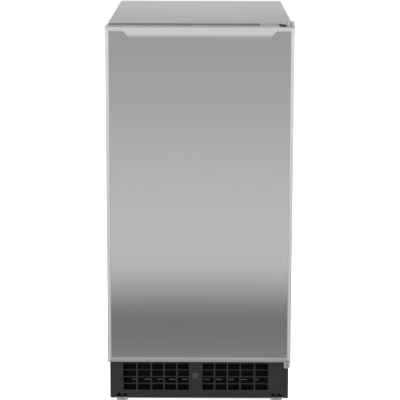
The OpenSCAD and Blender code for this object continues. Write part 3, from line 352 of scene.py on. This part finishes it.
class Repeater:
    """Geometry Nodes tree that repeats a small blank in rows and columns."""

    def __init__(self) -> None:
        """Builds the tree."""
        tree = bpy.data.node_groups.new("repeat_blank", "GeometryNodeTree")
        sockets = (
            ("Across", "NodeSocketInt", 2), ("Across Step", "NodeSocketVector", (0.01, 0.0, 0.0)),
            ("Up", "NodeSocketInt", 2), ("Up Step", "NodeSocketVector", (0.0, 0.0, 0.01)),
            ("Start", "NodeSocketVector", (0.0, 0.0, 0.0)), ("Blank", "NodeSocketObject", None),
            ("Finish", "NodeSocketMaterial", None),
        )
        for label, kind, default in sockets:
            socket = tree.interface.new_socket(label, in_out="INPUT", socket_type=kind)
            if default is not None:
                socket.default_value = default
        tree.interface.new_socket("Geometry", in_out="OUTPUT", socket_type="NodeSocketGeometry")
        nodes, links = tree.nodes, tree.links
        given, result = nodes.new("NodeGroupInput"), nodes.new("NodeGroupOutput")
        row, column = nodes.new("GeometryNodeMeshLine"), nodes.new("GeometryNodeMeshLine")
        blank = nodes.new("GeometryNodeObjectInfo")
        spread, place = nodes.new("GeometryNodeInstanceOnPoints"), nodes.new("GeometryNodeInstanceOnPoints")
        grid, solid = nodes.new("GeometryNodeRealizeInstances"), nodes.new("GeometryNodeRealizeInstances")
        dress = nodes.new("GeometryNodeSetMaterial")
        for line, count, step in ((row, "Across", "Across Step"), (column, "Up", "Up Step")):
            links.new(given.outputs[count], line.inputs["Count"])
            links.new(given.outputs[step], line.inputs["Offset"])
        links.new(given.outputs["Start"], row.inputs["Start Location"])
        links.new(given.outputs["Blank"], blank.inputs["Object"])
        links.new(row.outputs["Mesh"], spread.inputs["Points"])
        links.new(column.outputs["Mesh"], spread.inputs["Instance"])
        links.new(spread.outputs[0], grid.inputs[0])
        links.new(grid.outputs[0], place.inputs["Points"])
        links.new(blank.outputs["Geometry"], place.inputs["Instance"])
        links.new(place.outputs[0], solid.inputs[0])
        links.new(solid.outputs[0], dress.inputs["Geometry"])
        links.new(given.outputs["Finish"], dress.inputs["Material"])
        links.new(dress.outputs[0], result.inputs[0])
        self.tree = tree

    def make(self, blank: bmesh.types.BMesh, start: Vec3, across: int, across_step: Vec3, up: int = 1,
             up_step: Vec3 = (0.0, 0.0, 0.01), finish: Optional[bpy.types.Material] = None) -> bpy.types.Mesh:
        """Repeats a blank and returns the result as a plain mesh.

        Args:
            blank: the shape to repeat, which is used up.
            start: where the first blank's origin goes.
            across: how many stand in a row.
            across_step: the step along the row.
            up: how many rows.
            up_step: the step between rows.
            finish: the material that the tree sets.

        Returns:
            The plain mesh.
        """
        form = bpy.data.meshes.new("blank")
        blank.to_mesh(form)
        blank.free()
        pattern = bpy.data.objects.new("blank", form)
        host = bpy.data.objects.new("host", bpy.data.meshes.new("host"))
        for each in (pattern, host):
            bpy.context.scene.collection.objects.link(each)
        modifier = host.modifiers.new("repeat", "NODES")
        modifier.node_group = self.tree
        values = {"Across": across, "Across Step": across_step, "Up": up, "Up Step": up_step, "Start": start,
                  "Blank": pattern, "Finish": finish}
        for item in self.tree.interface.items_tree:
            if item.in_out == "INPUT" and values.get(item.name) is not None:
                modifier[item.identifier] = values[item.name]
        bpy.context.view_layer.update()
        seen = host.evaluated_get(bpy.context.evaluated_depsgraph_get())
        mesh = bpy.data.meshes.new_from_object(seen)
        for each in (host, pattern):
            bpy.data.objects.remove(each)
        return mesh


def block(low: Vec3, high: Vec3, round_by: float = 0.0, segments: int = 2) -> bmesh.types.BMesh:
    """Makes a box between two corners, with its edges rounded.

    Args:
        low: the lowest corner.
        high: the highest corner.
        round_by: the rounding's width.
        segments: the rounding's steps.

    Returns:
        The shape.
    """
    shape = bmesh.new()
    bmesh.ops.create_cube(shape, size=1.0)
    size = Vector(high) - Vector(low)
    bmesh.ops.scale(shape, vec=size, verts=shape.verts)
    bmesh.ops.translate(shape, vec=Vector(low) + size / 2, verts=shape.verts)
    if round_by:
        bmesh.ops.bevel(shape, geom=list(shape.edges), offset=round_by, segments=segments, profile=0.5,
                        affect="EDGES")
    return shape


def merged(meshes: Sequence[bpy.types.Mesh]) -> bpy.types.Mesh:
    """Joins several meshes into one.

    Args:
        meshes: the meshes, which are used up.

    Returns:
        The joined mesh.
    """
    shape = bmesh.new()
    for mesh in meshes:
        shape.from_mesh(mesh)
        bpy.data.meshes.remove(mesh)
    joined = bpy.data.meshes.new("joined")
    shape.to_mesh(joined)
    shape.free()
    return joined


def as_mesh(shape: bmesh.types.BMesh, angle: float = 35.0) -> bpy.types.Mesh:
    """Turns a shape into a smooth-shaded mesh that keeps its sharp edges.

    Args:
        shape: the shape, which is used up.
        angle: edges above this angle stay sharp, in degrees.

    Returns:
        The mesh.
    """
    mesh = bpy.data.meshes.new("shape")
    shape.to_mesh(mesh)
    shape.free()
    mesh.shade_smooth()
    mesh.set_sharp_from_angle(angle=math.radians(angle))
    return mesh


def ring(points: Sequence[Sequence[Vec3]]) -> bmesh.types.BMesh:
    """Skins a closed band through closed loops of points, one loop after another.

    Args:
        points: the loops, each with the same number of points.

    Returns:
        The shape, with its normals outwards.
    """
    shape = bmesh.new()
    loops = [[shape.verts.new(point) for point in loop] for loop in points]
    for here, there in zip(loops, loops[1:] + loops[:1]):
        for k in range(len(here)):
            n = (k + 1) % len(here)
            shape.faces.new((here[k], here[n], there[n], there[k]))
    bmesh.ops.recalc_face_normals(shape, faces=shape.faces)
    return shape


def prism(outline: Sequence[Tuple[float, float]], low: float, high: float) -> bmesh.types.BMesh:
    """Raises an outline in X and Y into an upright prism.

    Args:
        outline: the corners, in order.
        low: the height of the lower face.
        high: the height of the upper face.

    Returns:
        The shape.
    """
    shape = bmesh.new()
    below, above = ([shape.verts.new((x, y, z)) for x, y in outline] for z in (low, high))
    for k in range(len(outline)):
        n = (k + 1) % len(outline)
        shape.faces.new((below[k], below[n], above[n], above[k]))
    shape.faces.new(list(reversed(below)))
    shape.faces.new(above)
    bmesh.ops.recalc_face_normals(shape, faces=shape.faces)
    return shape


def cross_head(radius: float, height: float) -> bmesh.types.BMesh:
    """Makes a domed screw head with a cross recess, facing along -Y.

    Args:
        radius: the head's radius.
        height: how far it stands out.

    Returns:
        The shape, seated on Y = 0.
    """
    shape = bmesh.new()
    steps = 24
    profile = (
        (radius, 0.0), (radius, 0.35 * height), (0.86 * radius, 0.78 * height), (0.55 * radius, height),
    )
    loops = []
    for r, h in profile:
        turn = [2 * math.pi * k / steps for k in range(steps)]
        loops.append([shape.verts.new((r * math.cos(a), -h, r * math.sin(a))) for a in turn])
    for here, there in zip(loops, loops[1:]):
        for k in range(steps):
            n = (k + 1) % steps
            shape.faces.new((here[k], here[n], there[n], there[k]))
    # The recess is a four-armed star sunk into the crown
    crown = loops[-1]
    star = []
    for k in range(steps):
        a = 2 * math.pi * k / steps
        arm = 0.48 if k % 6 == 0 else 0.16
        star.append(shape.verts.new((arm * radius * math.cos(a), -height * 0.98, arm * radius * math.sin(a))))
    low = [shape.verts.new((v.co.x * 0.8, -0.35 * height, v.co.z * 0.8)) for v in star]
    for here, there in ((crown, star), (star, low)):
        for k in range(steps):
            n = (k + 1) % steps
            shape.faces.new((here[k], here[n], there[n], there[k]))
    shape.faces.new(low)
    shape.faces.new(list(reversed(loops[0])))
    bmesh.ops.recalc_face_normals(shape, faces=shape.faces)
    return shape


@dataclass
class Door:
    """The door: brushed skin in a mitred frame, lip handle, gasket."""

    edge_round: float = 0.6 * MM
    handle_round: float = 1.0 * MM
    liner_round: float = 1.6 * MM
    gasket_width: float = 15.0 * MM

    def build(self, shop: Workshop) -> None:
        """Makes and dresses the door's pieces."""
        for node in ("door_side_trims", "door_trim_top", "door_trim_bottom"):
            shop.soften(node, self.edge_round)
        shop.soften("door_handle", self.handle_round, 3)
        shop.soften("door_inner_liner", self.liner_round, 3)
        self._gasket(shop)

    def _gasket(self, shop: Workshop) -> None:
        """Makes the ribbed bellows gasket as one closed section swept round the opening."""
        low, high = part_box("door_gasket")
        depth, wide = high.y - low.y, self.gasket_width
        # Section across the gasket: how far in from its outer edge, and how far from its back
        section = (
            (0.0, 0.0), (0.0, 0.30), (0.10, 0.42), (0.04, 0.58), (0.10, 0.74), (0.22, 1.0), (0.36, 0.90),
            (0.50, 0.84),
            (0.64, 0.90), (0.78, 1.0), (0.90, 0.74), (0.96, 0.58), (0.90, 0.42), (1.0, 0.30), (1.0, 0.0),
        )
        corners = []
        for sx, sz in ((-1, -1), (1, -1), (1, 1), (-1, 1)):
            x = low.x if sx < 0 else high.x
            z = low.z if sz < 0 else high.z
            corners.append([(x - sx * t * wide, low.y + d * depth, z - sz * t * wide) for t, d in section])
        mesh = as_mesh(ring(corners), 50.0)
        shop.add(mesh, "door_gasket_bellows", "door", "gasket_rubber", replaces=("door_gasket",))


@dataclass
class Cabinet:
    """The outer shell, its panels, its hinges and its feet."""

    rear_screw_radius: float = 3.6 * MM
    rear_screw_height: float = 1.8 * MM
    rear_margin: float = 7.0 * MM
    rear_screws_up: int = 6
    arm_root: float = 30.0 * MM
    arm_tip: float = 17.0 * MM
    arm_reach: float = 24.0 * MM
    # Size of the black strip of painted shadow along the hinge arm's slanted edge
    shadow_strip_thickness: float = 1.2 * MM
    shadow_strip_height: float = 3.0 * MM
    shell_wall: float = 1.6 * MM
    seam_recess: float = 0.4 * MM
    seam_thickness: float = 1.6 * MM
    seam_lap: float = 1.2 * MM
    seam_round: float = 0.2 * MM
    wrapper_round: float = 0.5 * MM
    foot_round: float = 0.7 * MM

    def build(self, shop: Workshop) -> None:
        """Makes and dresses the shell's pieces."""
        shop.soften("cabinet_wrapper", self.wrapper_round)
        for node, width in (("top_hinge_bracket", 0.4), ("bottom_hinge_bracket", 0.4), ("hinge_pins", 0.5),
                            ("face_frame", 0.4), ("base_pan", 0.4), ("rear_panel", 0.3)):
            shop.soften(node, width * MM)
        for end in ("front_left", "front_right", "rear_left", "rear_right"):
            shop.soften("foot_" + end, self.foot_round)
        self._rear_screws(shop)
        self._hinge_shadow_strip(shop)
        self._seam(shop)

    def _seam(self, shop: Workshop) -> None:
        """Makes the grey sealing strip that closes the joint round the rear panel's top and sides."""
        low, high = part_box("rear_panel")
        shell_low, shell_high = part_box("cabinet_wrapper")
        wall = self.shell_wall
        back, front = high.y - self.seam_recess, high.y - self.seam_recess - self.seam_thickness
        left, right, top = shell_low.x + wall, shell_high.x - wall, shell_high.z - wall
        lap = self.seam_lap
        strips = (
            ((left, front, high.z - lap), (right, back, top)),
            ((left, front, low.z), (low.x + lap, back, high.z)),
            ((high.x - lap, front, low.z), (right, back, high.z)),
        )
        mesh = merged([as_mesh(block(one, other, self.seam_round, 1)) for one, other in strips])
        shop.add(mesh, "rear_panel_seal", "cabinet", "drain_grey")

    def _hinge_shadow_strip(self, shop: Workshop) -> None:
        """Makes a black strip along the slanted edge of the top hinge's arm, painted shadow that stands for
        the arm's shaded edge.
        """
        _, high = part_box("top_hinge_bracket")
        root, tip = high.x - self.arm_root, high.x - self.arm_tip
        outline = ((root, high.y), (root - self.shadow_strip_thickness, high.y),
                   (tip - self.shadow_strip_thickness, high.y - self.arm_reach), (tip, high.y - self.arm_reach))
        strip = prism(outline, high.z - self.shadow_strip_height, high.z)
        # The strip's black is painted shadow along the arm's shaded edge
        shop.add(as_mesh(strip), "hinge_arm_edging", "cabinet", "black_plastic")

    def _rear_screws(self, shop: Workshop) -> None:
        """Makes the rows of screws along the rear panel's two sides."""
        low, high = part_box("rear_panel")
        rise = (high.z - low.z - 4 * self.rear_margin) / (self.rear_screws_up - 1)
        head = cross_head(self.rear_screw_radius, self.rear_screw_height)
        bmesh.ops.rotate(head, verts=head.verts, cent=(0, 0, 0), matrix=Matrix.Rotation(math.pi, 3, "Z"))
        width = high.x - low.x - 2 * self.rear_margin
        mesh = shop.repeater.make(
            head, (low.x + self.rear_margin, high.y, low.z + 2 * self.rear_margin), 2, (width, 0, 0),
            self.rear_screws_up, (0, 0, rise), shop.materials["screw_steel"],
        )
        shop.add(mesh, "rear_panel_screws", "cabinet", "screw_steel")


@dataclass
class Grille:
    """The front grille, a near-black filter pad of painted shade with its clips behind it, and its blank
    badge.
    """

    shift: float = 7.5 * MM
    face_thickness: float = 3.0 * MM
    pad_left: float = -156.0 * MM
    pad_bottom: float = 21.0 * MM
    pad_height: float = 72.0 * MM
    pad_gap: float = 8.5 * MM
    pleat_pitch: float = 4.0 * MM
    pleat_depth: float = 4.0 * MM
    pleat_thickness: float = 0.6 * MM
    pleats: int = 76
    clip_gap: float = 5.0 * MM
    clip_height: float = 48.0 * MM
    clip_pitch: float = 26.4 * MM
    clip_width: float = 13.0 * MM
    clip_first: float = 23.0 * MM
    clips: int = 5
    clip_half: float = 1.2 * MM
    clip_round: float = 0.5 * MM
    rail_half: float = 1.5 * MM
    clip_slope: float = 35.0
    badge_size: float = 11.8 * MM
    badge_height: float = 58.5 * MM
    badge_thickness: float = 0.5 * MM
    badge_offset: float = 1.0 * MM
    badge_round: float = 0.2 * MM
    edge_round: float = 0.3 * MM

    def build(self, shop: Workshop) -> None:
        """Makes and dresses the grille's pieces."""
        shop.soften("front_grille", self.edge_round, 1)
        self._pad_of_painted_shade(shop)
        self._clips(shop)
        self._badge(shop)

    def _pad_of_painted_shade(self, shop: Workshop) -> None:
        """Makes the pleated filter pad, near-black as painted shade behind the grille's openings, and the two
        rails that hold it.
        """
        low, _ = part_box("front_grille")
        front = low.y + self.face_thickness + self.pad_gap
        pitch, depth, skin = self.pleat_pitch, self.pleat_depth, self.pleat_thickness
        fold = (
            (0, depth), (pitch / 2, 0), (pitch, depth),
            (pitch, depth + skin), (pitch / 2, skin), (0, depth + skin),
        )
        pad = shop.repeater.make(prism(fold, 0.0, self.pad_height), (self.pad_left, front, self.pad_bottom),
                                 self.pleats, (pitch, 0, 0), finish=shop.materials["painted_shade_foam"])
        right = self.pad_left + self.pleats * pitch
        back, half = front + depth + 2 * skin, self.rail_half
        rails = []
        for z in (self.pad_bottom, self.pad_bottom + self.pad_height):
            rail = block((self.pad_left, front - skin, z - half), (right, back, z + half), self.edge_round, 1)
            rails.append(as_mesh(rail))
        # The pad and its rails are a near-black sheet of painted shade behind the grille's openings
        shop.add(merged([pad] + rails), "filter_pad", "cabinet", "painted_shade_foam", slot="black_rubber")

    def _clips(self, shop: Workshop) -> None:
        """Makes the sloping clips that hold the painted-shade filter pad, in one row behind each bank."""
        low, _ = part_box("front_grille")
        y = low.y + self.face_thickness + self.clip_gap
        reach = self.pad_gap - self.clip_gap
        rows = []
        for side in (-1, 1):
            clip = block((-self.clip_width / 2, 0.0, -self.clip_half),
                         (self.clip_width / 2, reach, self.clip_half), self.clip_round)
            slope = Matrix.Rotation(math.radians(-self.clip_slope), 3, "X")
            bmesh.ops.rotate(clip, verts=clip.verts, cent=(0, 0, 0), matrix=slope)
            start = (-self.shift + side * self.clip_first, y, self.clip_height)
            rows.append(shop.repeater.make(clip, start, self.clips, (side * self.clip_pitch, 0, 0),
                                           finish=shop.materials["screw_steel"]))
        shop.add(merged(rows), "filter_clips", "cabinet", "screw_steel")

    def _badge(self, shop: Workshop) -> None:
        """Makes the plain square badge between the two banks."""
        low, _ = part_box("front_grille")
        half, x, z = self.badge_size / 2, -self.shift - self.badge_offset, self.badge_height
        shape = block((x - half, low.y - self.badge_thickness, z - half), (x + half, low.y, z + half),
                      self.badge_round)
        shop.add(as_mesh(shape), "grille_badge_blank", "cabinet", "badge_grey", slot="grille_plastic")


@dataclass
class Machinery:
    """The cooling set in the base."""

    fins: int = 60
    fin_half: float = 0.15 * MM
    fin_inset: float = 4.0 * MM
    fin_margin: float = 3.0 * MM
    fin_foot: float = 4.0 * MM
    fin_top_gap: float = 2.0 * MM
    plate_thickness: float = 1.2 * MM
    plate_round: float = 0.2 * MM

    def build(self, shop: Workshop) -> None:
        """Makes and dresses the cooling set's pieces."""
        for node, width in (("relay_box", 1.6), ("fan_shroud", 0.4), ("hot_gas_valve", 0.5),
                            ("water_inlet_valve", 0.6), ("cord_gland", 0.5)):
            shop.soften(node, width * MM)
        self._fins(shop)

    def _fins(self, shop: Workshop) -> None:
        """Makes the condenser's close-set fins."""
        low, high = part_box("condenser_fins")
        fin = block((-self.fin_half, low.y + self.fin_margin, low.z + self.fin_foot),
                    (self.fin_half, high.y - self.fin_margin, high.z - self.fin_top_gap))
        step = (high.x - low.x - 2 * self.fin_inset) / (self.fins - 1)
        pack = shop.repeater.make(fin, (low.x + self.fin_inset, 0, 0), self.fins, (step, 0, 0),
                                  finish=shop.materials["condenser_black"])
        thick = self.plate_thickness
        plates = [as_mesh(block((x, low.y, low.z), (x + thick, high.y, high.z), self.plate_round, 1))
                  for x in (low.x, high.x - thick)]
        shop.add(merged([pack] + plates), "condenser_fin_pack", "cabinet", "condenser_black",
                 replaces=("condenser_fins",))


@dataclass
class IceChamber:
    """The liner and everything inside it."""

    lamps: int = 3
    lamp_radius: float = 2.2 * MM
    lamp_first: float = -50.0 * MM
    lamp_pitch: float = 26.0 * MM
    window_left: float = -66.0 * MM
    window_right: float = 40.0 * MM
    window_half: float = 11.0 * MM
    window_thickness: float = 0.6 * MM
    window_round: float = 0.25 * MM

    def build(self, shop: Workshop) -> None:
        """Makes and dresses the chamber's pieces."""
        for node, width in (("inner_liner", 1.2), ("water_pan", 0.8), ("cutter_grid_frame", 1.2),
                            ("splash_cover", 0.7), ("control_housing", 1.8), ("scoop_ledge", 0.7),
                            ("ice_scoop", 0.6), ("light_lens", 0.6), ("power_button", 0.5),
                            ("clean_button", 0.5), ("pan_drain_plug", 0.5),
                            ("evaporator_plate", 0.3), ("pump_motor", 0.8), ("unit_rails", 0.3)):
            shop.soften(node, width * MM)
        self._fascia(shop)

    def _fascia(self, shop: Workshop) -> None:
        """Makes the dark window and the lamps on the control housing."""
        low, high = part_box("control_housing")
        middle, face = (low.z + high.z) / 2, low.y - self.window_thickness
        window = block((self.window_left, face, middle - self.window_half),
                       (self.window_right, low.y, middle + self.window_half), self.window_round)
        shop.add(as_mesh(window), "control_window", "cabinet", "fascia_dark", slot="black_plastic")
        lamp = lamp_dome(self.lamp_radius)
        row = shop.repeater.make(lamp, (self.lamp_first, face, middle), self.lamps, (self.lamp_pitch, 0, 0),
                                 finish=shop.materials["lamp_amber"])
        shop.add(row, "status_lamps", "cabinet", "lamp_amber", slot="lens_clear")


def lamp_dome(radius: float) -> bmesh.types.BMesh:
    """Makes a low plain dome facing along -Y.

    Args:
        radius: the dome's radius.

    Returns:
        The shape, seated on Y = 0.
    """
    shape = bmesh.new()
    bmesh.ops.create_uvsphere(shape, u_segments=20, v_segments=10, radius=radius)
    bmesh.ops.bisect_plane(shape, geom=shape.verts[:] + shape.edges[:] + shape.faces[:], plane_co=(0, 0, 0),
                           plane_no=(0, 1, 0), clear_outer=True)
    bmesh.ops.holes_fill(shape, edges=[edge for edge in shape.edges if edge.is_boundary])
    bmesh.ops.scale(shape, vec=(1, 0.4, 1), verts=shape.verts)
    bmesh.ops.recalc_face_normals(shape, faces=shape.faces)
    return shape


@dataclass(frozen=True)
class Sweep:
    """A soft change of the sky's brightness on the way down, between two sines of the elevation."""

    start: float
    end: float
    level: float


@dataclass(frozen=True)
class Softbox:
    """A square soft lamp aimed at a point, its side in metres and its power in watts."""

    name: str
    place: Vec3
    target: Vec3
    size: float
    power: float

    def hang(self) -> None:
        """Adds the lamp to the scene."""
        data = bpy.data.lights.new(self.name, "AREA")
        data.size = self.size
        data.energy = self.power
        lamp = bpy.data.objects.new(self.name, data)
        lamp.visible_glossy = False
        bpy.context.scene.collection.objects.link(lamp)
        aim = (Vector(self.target) - Vector(self.place)).to_track_quat("-Z", "Y")
        lamp.matrix_world = Matrix.Translation(self.place) @ aim.to_matrix().to_4x4()


@dataclass
class Studio:
    """Camera, floor and light."""

    camera_place: Vec3 = (0.0112, -3.4527, 1.1279)
    camera_pitch: float = 10.657
    camera_roll: float = 0.12
    camera_yaw: float = 0.187
    focal_length: float = 142.80
    shift: float = -0.10
    sensor_width: float = 36.0
    floor_size: float = 14.0
    floor_glow: float = 0.86
    floor_shade: float = 0.92
    floor_roughness: float = 0.9
    # Sine of the elevation and the brightness there, for the plain sky
    broad_sky: Tuple[Tuple[float, float], ...] = (
        (-1.0, 0.70), (0.0, 0.50), (0.30, 0.70), (1.0, 0.80),
    )
    # A pale card stands in front, with a dark flag under it and the ground below that
    front_sweeps: Tuple[Sweep, ...] = (
        Sweep(-0.10, -0.25, 0.80), Sweep(-0.25, -0.28, 0.20), Sweep(-0.28, -0.32, 0.40),
    )
    # Where the sky turns to its side and rear levels: across X, up Z and back along Y
    side_span: Tuple[float, float] = (0.35, 0.75)
    side_rise: Tuple[float, float] = (-0.32, -0.10)
    rear_span: Tuple[float, float] = (0.4, 0.7)
    side_dark: float = 0.60
    side_bright: float = 1.0
    rear_level: float = 0.54
    softboxes: Tuple[Softbox, ...] = (
        Softbox("top_softbox", (0.0, 0.75, 1.7), (0.0, 0.0, 0.8), 1.2, 36.0),
        Softbox("left_softbox", (-2.4, -1.8, 1.5), (0.0, 0.0, 0.4), 1.4, 16.0),
        Softbox("right_softbox", (2.4, -1.8, 1.5), (0.0, 0.0, 0.4), 1.4, 16.0),
    )

    def build(self) -> None:
        """Makes the camera, the floor, the world and the lamps."""
        self._camera()
        self._floor()
        self._world()
        for softbox in self.softboxes:
            softbox.hang()

    def _camera(self) -> None:
        """Places the camera and makes it the scene's."""
        data = bpy.data.cameras.new("camera")
        data.lens = self.focal_length
        data.sensor_width = self.sensor_width
        data.shift_y = self.shift
        camera = bpy.data.objects.new("camera", data)
        bpy.context.scene.collection.objects.link(camera)
        turn = Euler((math.radians(90.0 - self.camera_pitch), 0.0, math.radians(self.camera_yaw))).to_matrix()
        roll = Matrix.Rotation(math.radians(self.camera_roll), 3, "Z")
        camera.matrix_world = Matrix.Translation(self.camera_place) @ (turn @ roll).to_4x4()
        bpy.context.scene.camera = camera
        bpy.context.scene.view_settings.view_transform = "Standard"

    def _floor(self) -> None:
        """Makes the pale floor, which metal doesn't mirror."""
        half = self.floor_size / 2
        mesh = bpy.data.meshes.new("studio_floor")
        corners = [(-half, -half, 0), (half, -half, 0), (half, half, 0), (-half, half, 0)]
        mesh.from_pydata(corners, [], [(0, 1, 2, 3)])
        floor = bpy.data.objects.new("studio_floor", mesh)
        bpy.context.scene.collection.objects.link(floor)
        material = bpy.data.materials.new("studio_floor")
        material.use_nodes = True
        shader = material.node_tree.nodes["Principled BSDF"]
        shader.inputs["Base Color"].default_value = (self.floor_shade,) * 3 + (1,)
        shader.inputs["Roughness"].default_value = self.floor_roughness
        shader.inputs["Emission Color"].default_value = (1, 1, 1, 1)
        shader.inputs["Emission Strength"].default_value = self.floor_glow
        mesh.materials.append(material)
        floor.visible_glossy = False

    def _world(self) -> None:
        """Builds a white backdrop for the eye and a sky graded by direction for the light."""
        world = bpy.data.worlds.new("studio")
        bpy.context.scene.world = world
        world.use_nodes = True
        nodes, links = world.node_tree.nodes, world.node_tree.links
        nodes.clear()
        place, split = nodes.new("ShaderNodeTexCoord"), nodes.new("ShaderNodeSeparateXYZ")
        links.new(place.outputs["Generated"], split.inputs[0])
        rise = split.outputs["Z"]
        level = self._ramp(nodes, links, rise, self.broad_sky)
        aside = nodes.new("ShaderNodeMath")
        aside.operation = "ABSOLUTE"
        links.new(split.outputs["X"], aside.inputs[0])
        for sweep in self.front_sweeps:
            share = self._remap(nodes, links, rise, (sweep.start, sweep.end), (0.0, 1.0), soft=True)
            swept = nodes.new("ShaderNodeValue")
            swept.outputs[0].default_value = sweep.level
            level = self._blend(nodes, links, share, level, swept.outputs[0])
        sideways = self._remap(nodes, links, aside.outputs[0], self.side_span, (0.0, 1.0))
        side = self._remap(nodes, links, rise, self.side_rise, (self.side_dark, self.side_bright))
        level = self._blend(nodes, links, sideways, level, side)
        behind = self._remap(nodes, links, split.outputs["Y"], self.rear_span, (0.0, 1.0))
        rear = nodes.new("ShaderNodeValue")
        rear.outputs[0].default_value = self.rear_level
        level = self._blend(nodes, links, behind, level, rear.outputs[0])
        sky, backdrop = nodes.new("ShaderNodeBackground"), nodes.new("ShaderNodeBackground")
        backdrop.inputs["Color"].default_value = (1, 1, 1, 1)
        links.new(level, sky.inputs["Color"])
        path, mix = nodes.new("ShaderNodeLightPath"), nodes.new("ShaderNodeMixShader")
        out = nodes.new("ShaderNodeOutputWorld")
        links.new(path.outputs["Is Camera Ray"], mix.inputs["Fac"])
        links.new(sky.outputs[0], mix.inputs[1])
        links.new(backdrop.outputs[0], mix.inputs[2])
        links.new(mix.outputs[0], out.inputs["Surface"])

    @staticmethod
    def _remap(nodes: bpy.types.Nodes, links: bpy.types.NodeLinks, value: bpy.types.NodeSocket,
               given: Tuple[float, float], wanted: Tuple[float, float],
               soft: bool = False) -> bpy.types.NodeSocket:
        """Maps a value from one range to another, held at the ends.

        Args:
            nodes: the tree's nodes.
            links: the tree's links.
            value: the socket to read.
            given: the range that comes in.
            wanted: the range that goes out.
            soft: whether the change eases in and out.

        Returns:
            The mapped socket.
        """
        remap = nodes.new("ShaderNodeMapRange")
        remap.interpolation_type = "SMOOTHSTEP" if soft else "LINEAR"
        remap.inputs["From Min"].default_value, remap.inputs["From Max"].default_value = given
        remap.inputs["To Min"].default_value, remap.inputs["To Max"].default_value = wanted
        links.new(value, remap.inputs["Value"])
        return remap.outputs[0]

    def _ramp(self, nodes: bpy.types.Nodes, links: bpy.types.NodeLinks, rise: bpy.types.NodeSocket,
              levels: Sequence[Tuple[float, float]]) -> bpy.types.NodeSocket:
        """Grades the brightness by the sine of the elevation.

        Args:
            nodes: the tree's nodes.
            links: the tree's links.
            rise: the socket that gives the sine.
            levels: sine and brightness, from the lowest sine up.

        Returns:
            The graded socket.
        """
        first, last = levels[0][0], levels[-1][0]
        ramp = nodes.new("ShaderNodeValToRGB")
        links.new(self._remap(nodes, links, rise, (first, last), (0.0, 1.0)), ramp.inputs["Fac"])
        stops = ramp.color_ramp.elements
        stops[0].color, stops[1].color = ((level,) * 3 + (1,) for level in (levels[0][1], levels[-1][1]))
        for sine, level in levels[1:-1]:
            stops.new((sine - first) / (last - first)).color = (level,) * 3 + (1,)
        return ramp.outputs["Color"]

    @staticmethod
    def _blend(nodes: bpy.types.Nodes, links: bpy.types.NodeLinks, share: bpy.types.NodeSocket,
               one: bpy.types.NodeSocket, other: bpy.types.NodeSocket) -> bpy.types.NodeSocket:
        """Mixes two levels.

        Args:
            nodes: the tree's nodes.
            links: the tree's links.
            share: how much of the second is taken.
            one: the first level.
            other: the second level.

        Returns:
            The mixed socket.
        """
        mix = nodes.new("ShaderNodeMix")
        mix.data_type = "FLOAT"
        links.new(share, mix.inputs["Factor"])
        links.new(one, mix.inputs["A"])
        links.new(other, mix.inputs["B"])
        return mix.outputs["Result"]


def main() -> None:
    """Builds the studio and every sub-assembly."""
    logging.basicConfig(level=logging.INFO, format="%(message)s")
    Studio().build()
    shop = Workshop()
    shop.keep_nodes()
    for part in (Cabinet(), Grille(), Door(), Machinery(), IceChamber()):
        part.build(shop)
        LOG.info("%s done", type(part).__name__)
    LOG.info("%d pieces made", shop.count)


if __name__ == "__main__":
    main()
